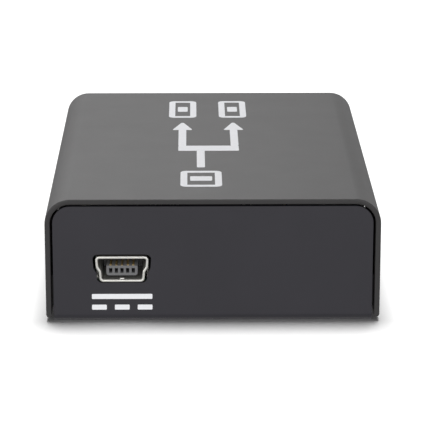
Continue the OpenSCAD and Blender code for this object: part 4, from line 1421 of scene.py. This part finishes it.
class SPLITTER_OT_stage(bpy.types.Operator):
    """Set up the floor, the light and the camera"""

    bl_idname = "splitter.stage"
    bl_label = "Stage"

    def execute(self, context):
        make_stage(settings("stage"))
        return {"FINISHED"}


class SPLITTER_OT_cover(bpy.types.Operator):
    """Fold the top cover and cut its openings"""

    bl_idname = "splitter.cover"
    bl_label = "Top cover"

    def execute(self, context):
        make_cover(settings("case"))
        return {"FINISHED"}


class SPLITTER_OT_tray(bpy.types.Operator):
    """Fold the bottom tray with its end panels"""

    bl_idname = "splitter.tray"
    bl_label = "Bottom tray"

    def execute(self, context):
        make_tray(settings("case"))
        return {"FINISHED"}


class SPLITTER_OT_prints(bpy.types.Operator):
    """Print the white marks on the case"""

    bl_idname = "splitter.prints"
    bl_label = "Printed marks"

    def execute(self, context):
        make_prints(settings("case"))
        return {"FINISHED"}


class SPLITTER_OT_cover_screws(bpy.types.Operator):
    """Turn the countersunk screws of the cover"""

    bl_idname = "splitter.cover_screws"
    bl_label = "Cover screws"

    def execute(self, context):
        make_cover_screws()
        return {"FINISHED"}


class SPLITTER_OT_brackets(bpy.types.Operator):
    """Bend the brackets inside the cover"""

    bl_idname = "splitter.brackets"
    bl_label = "Cover brackets"

    def execute(self, context):
        make_brackets()
        return {"FINISHED"}


class SPLITTER_OT_video_sockets(bpy.types.Operator):
    """Model the video sockets"""

    bl_idname = "splitter.video_sockets"
    bl_label = "Video sockets"

    def execute(self, context):
        make_video_sockets(settings("video"))
        return {"FINISHED"}


class SPLITTER_OT_power_inlet(bpy.types.Operator):
    """Model the power inlet"""

    bl_idname = "splitter.power_inlet"
    bl_label = "Power inlet"

    def execute(self, context):
        make_power_inlet(settings("inlet"))
        return {"FINISHED"}


class SPLITTER_OT_board(bpy.types.Operator):
    """Model the circuit board with its tracks, pads and marking"""

    bl_idname = "splitter.board"
    bl_label = "Circuit board"

    def execute(self, context):
        make_board(settings("board"))
        make_tracks(settings("board"))
        return {"FINISHED"}


class SPLITTER_OT_hardware(bpy.types.Operator):
    """Turn the standoffs and screws of the board"""

    bl_idname = "splitter.hardware"
    bl_label = "Standoffs and board screws"

    def execute(self, context):
        make_hardware()
        return {"FINISHED"}


class SPLITTER_OT_chips(bpy.types.Operator):
    """Mould the chips and bend their leads"""

    bl_idname = "splitter.chips"
    bl_label = "Chips"

    def execute(self, context):
        make_chips()
        return {"FINISHED"}


class SPLITTER_OT_tall_parts(bpy.types.Operator):
    """Model the crystal, the inductor and the round capacitors"""

    bl_idname = "splitter.tall_parts"
    bl_label = "Crystal, inductor and capacitors"

    def execute(self, context):
        make_crystal()
        make_inductor()
        make_capacitors()
        return {"FINISHED"}


class SPLITTER_OT_small_parts(bpy.types.Operator):
    """Model the fuse, resistors, ceramic capacitors and surge arrays"""

    bl_idname = "splitter.small_parts"
    bl_label = "Small parts"

    def execute(self, context):
        make_small_parts()
        return {"FINISHED"}


class SPLITTER_OT_lamps(bpy.types.Operator):
    """Model the lamps behind the windows"""

    bl_idname = "splitter.lamps"
    bl_label = "Lamps"

    def execute(self, context):
        make_lamps()
        return {"FINISHED"}


OPERATORS = (
    SPLITTER_OT_stage, SPLITTER_OT_cover, SPLITTER_OT_tray, SPLITTER_OT_prints, SPLITTER_OT_cover_screws,
    SPLITTER_OT_brackets, SPLITTER_OT_video_sockets, SPLITTER_OT_power_inlet, SPLITTER_OT_board,
    SPLITTER_OT_hardware, SPLITTER_OT_chips, SPLITTER_OT_tall_parts, SPLITTER_OT_small_parts,
    SPLITTER_OT_lamps,
)
SETTINGS = {
    "splitter_case": CaseSettings, "splitter_video": VideoSettings, "splitter_inlet": InletSettings,
    "splitter_board": BoardSettings, "splitter_colours": ColourSettings, "splitter_stage": StageSettings,
}


class SPLITTER_PT_pieces(bpy.types.Panel):
    """Lists the pieces of the splitter and their settings"""

    bl_idname = "SPLITTER_PT_pieces"
    bl_label = "Video splitter"
    bl_space_type = "VIEW_3D"
    bl_region_type = "UI"
    bl_category = "Splitter"

    def draw(self, context):
        for operator in OPERATORS:
            self.layout.operator(operator.bl_idname)
        for name in SETTINGS:
            group = getattr(context.scene, name)
            column = self.layout.box().column()
            for key in group.__annotations__:
                column.prop(group, key)


CLASSES = (*SETTINGS.values(), *OPERATORS, SPLITTER_PT_pieces)


def register():
    """Make the settings, the operators and the panel known to Blender"""
    for made in CLASSES:
        bpy.utils.register_class(made)
    for name, group in SETTINGS.items():
        setattr(bpy.types.Scene, name, bpy.props.PointerProperty(type=group))


def unregister():
    """Take back what register made known"""
    for name in SETTINGS:
        delattr(bpy.types.Scene, name)
    for made in reversed(CLASSES):
        bpy.utils.unregister_class(made)


def main():
    """Make every piece in order"""
    register()
    for operator in OPERATORS:
        group, name = operator.bl_idname.split(".")
        getattr(getattr(bpy.ops, group), name)()


if __name__ == "__main__":
    main()
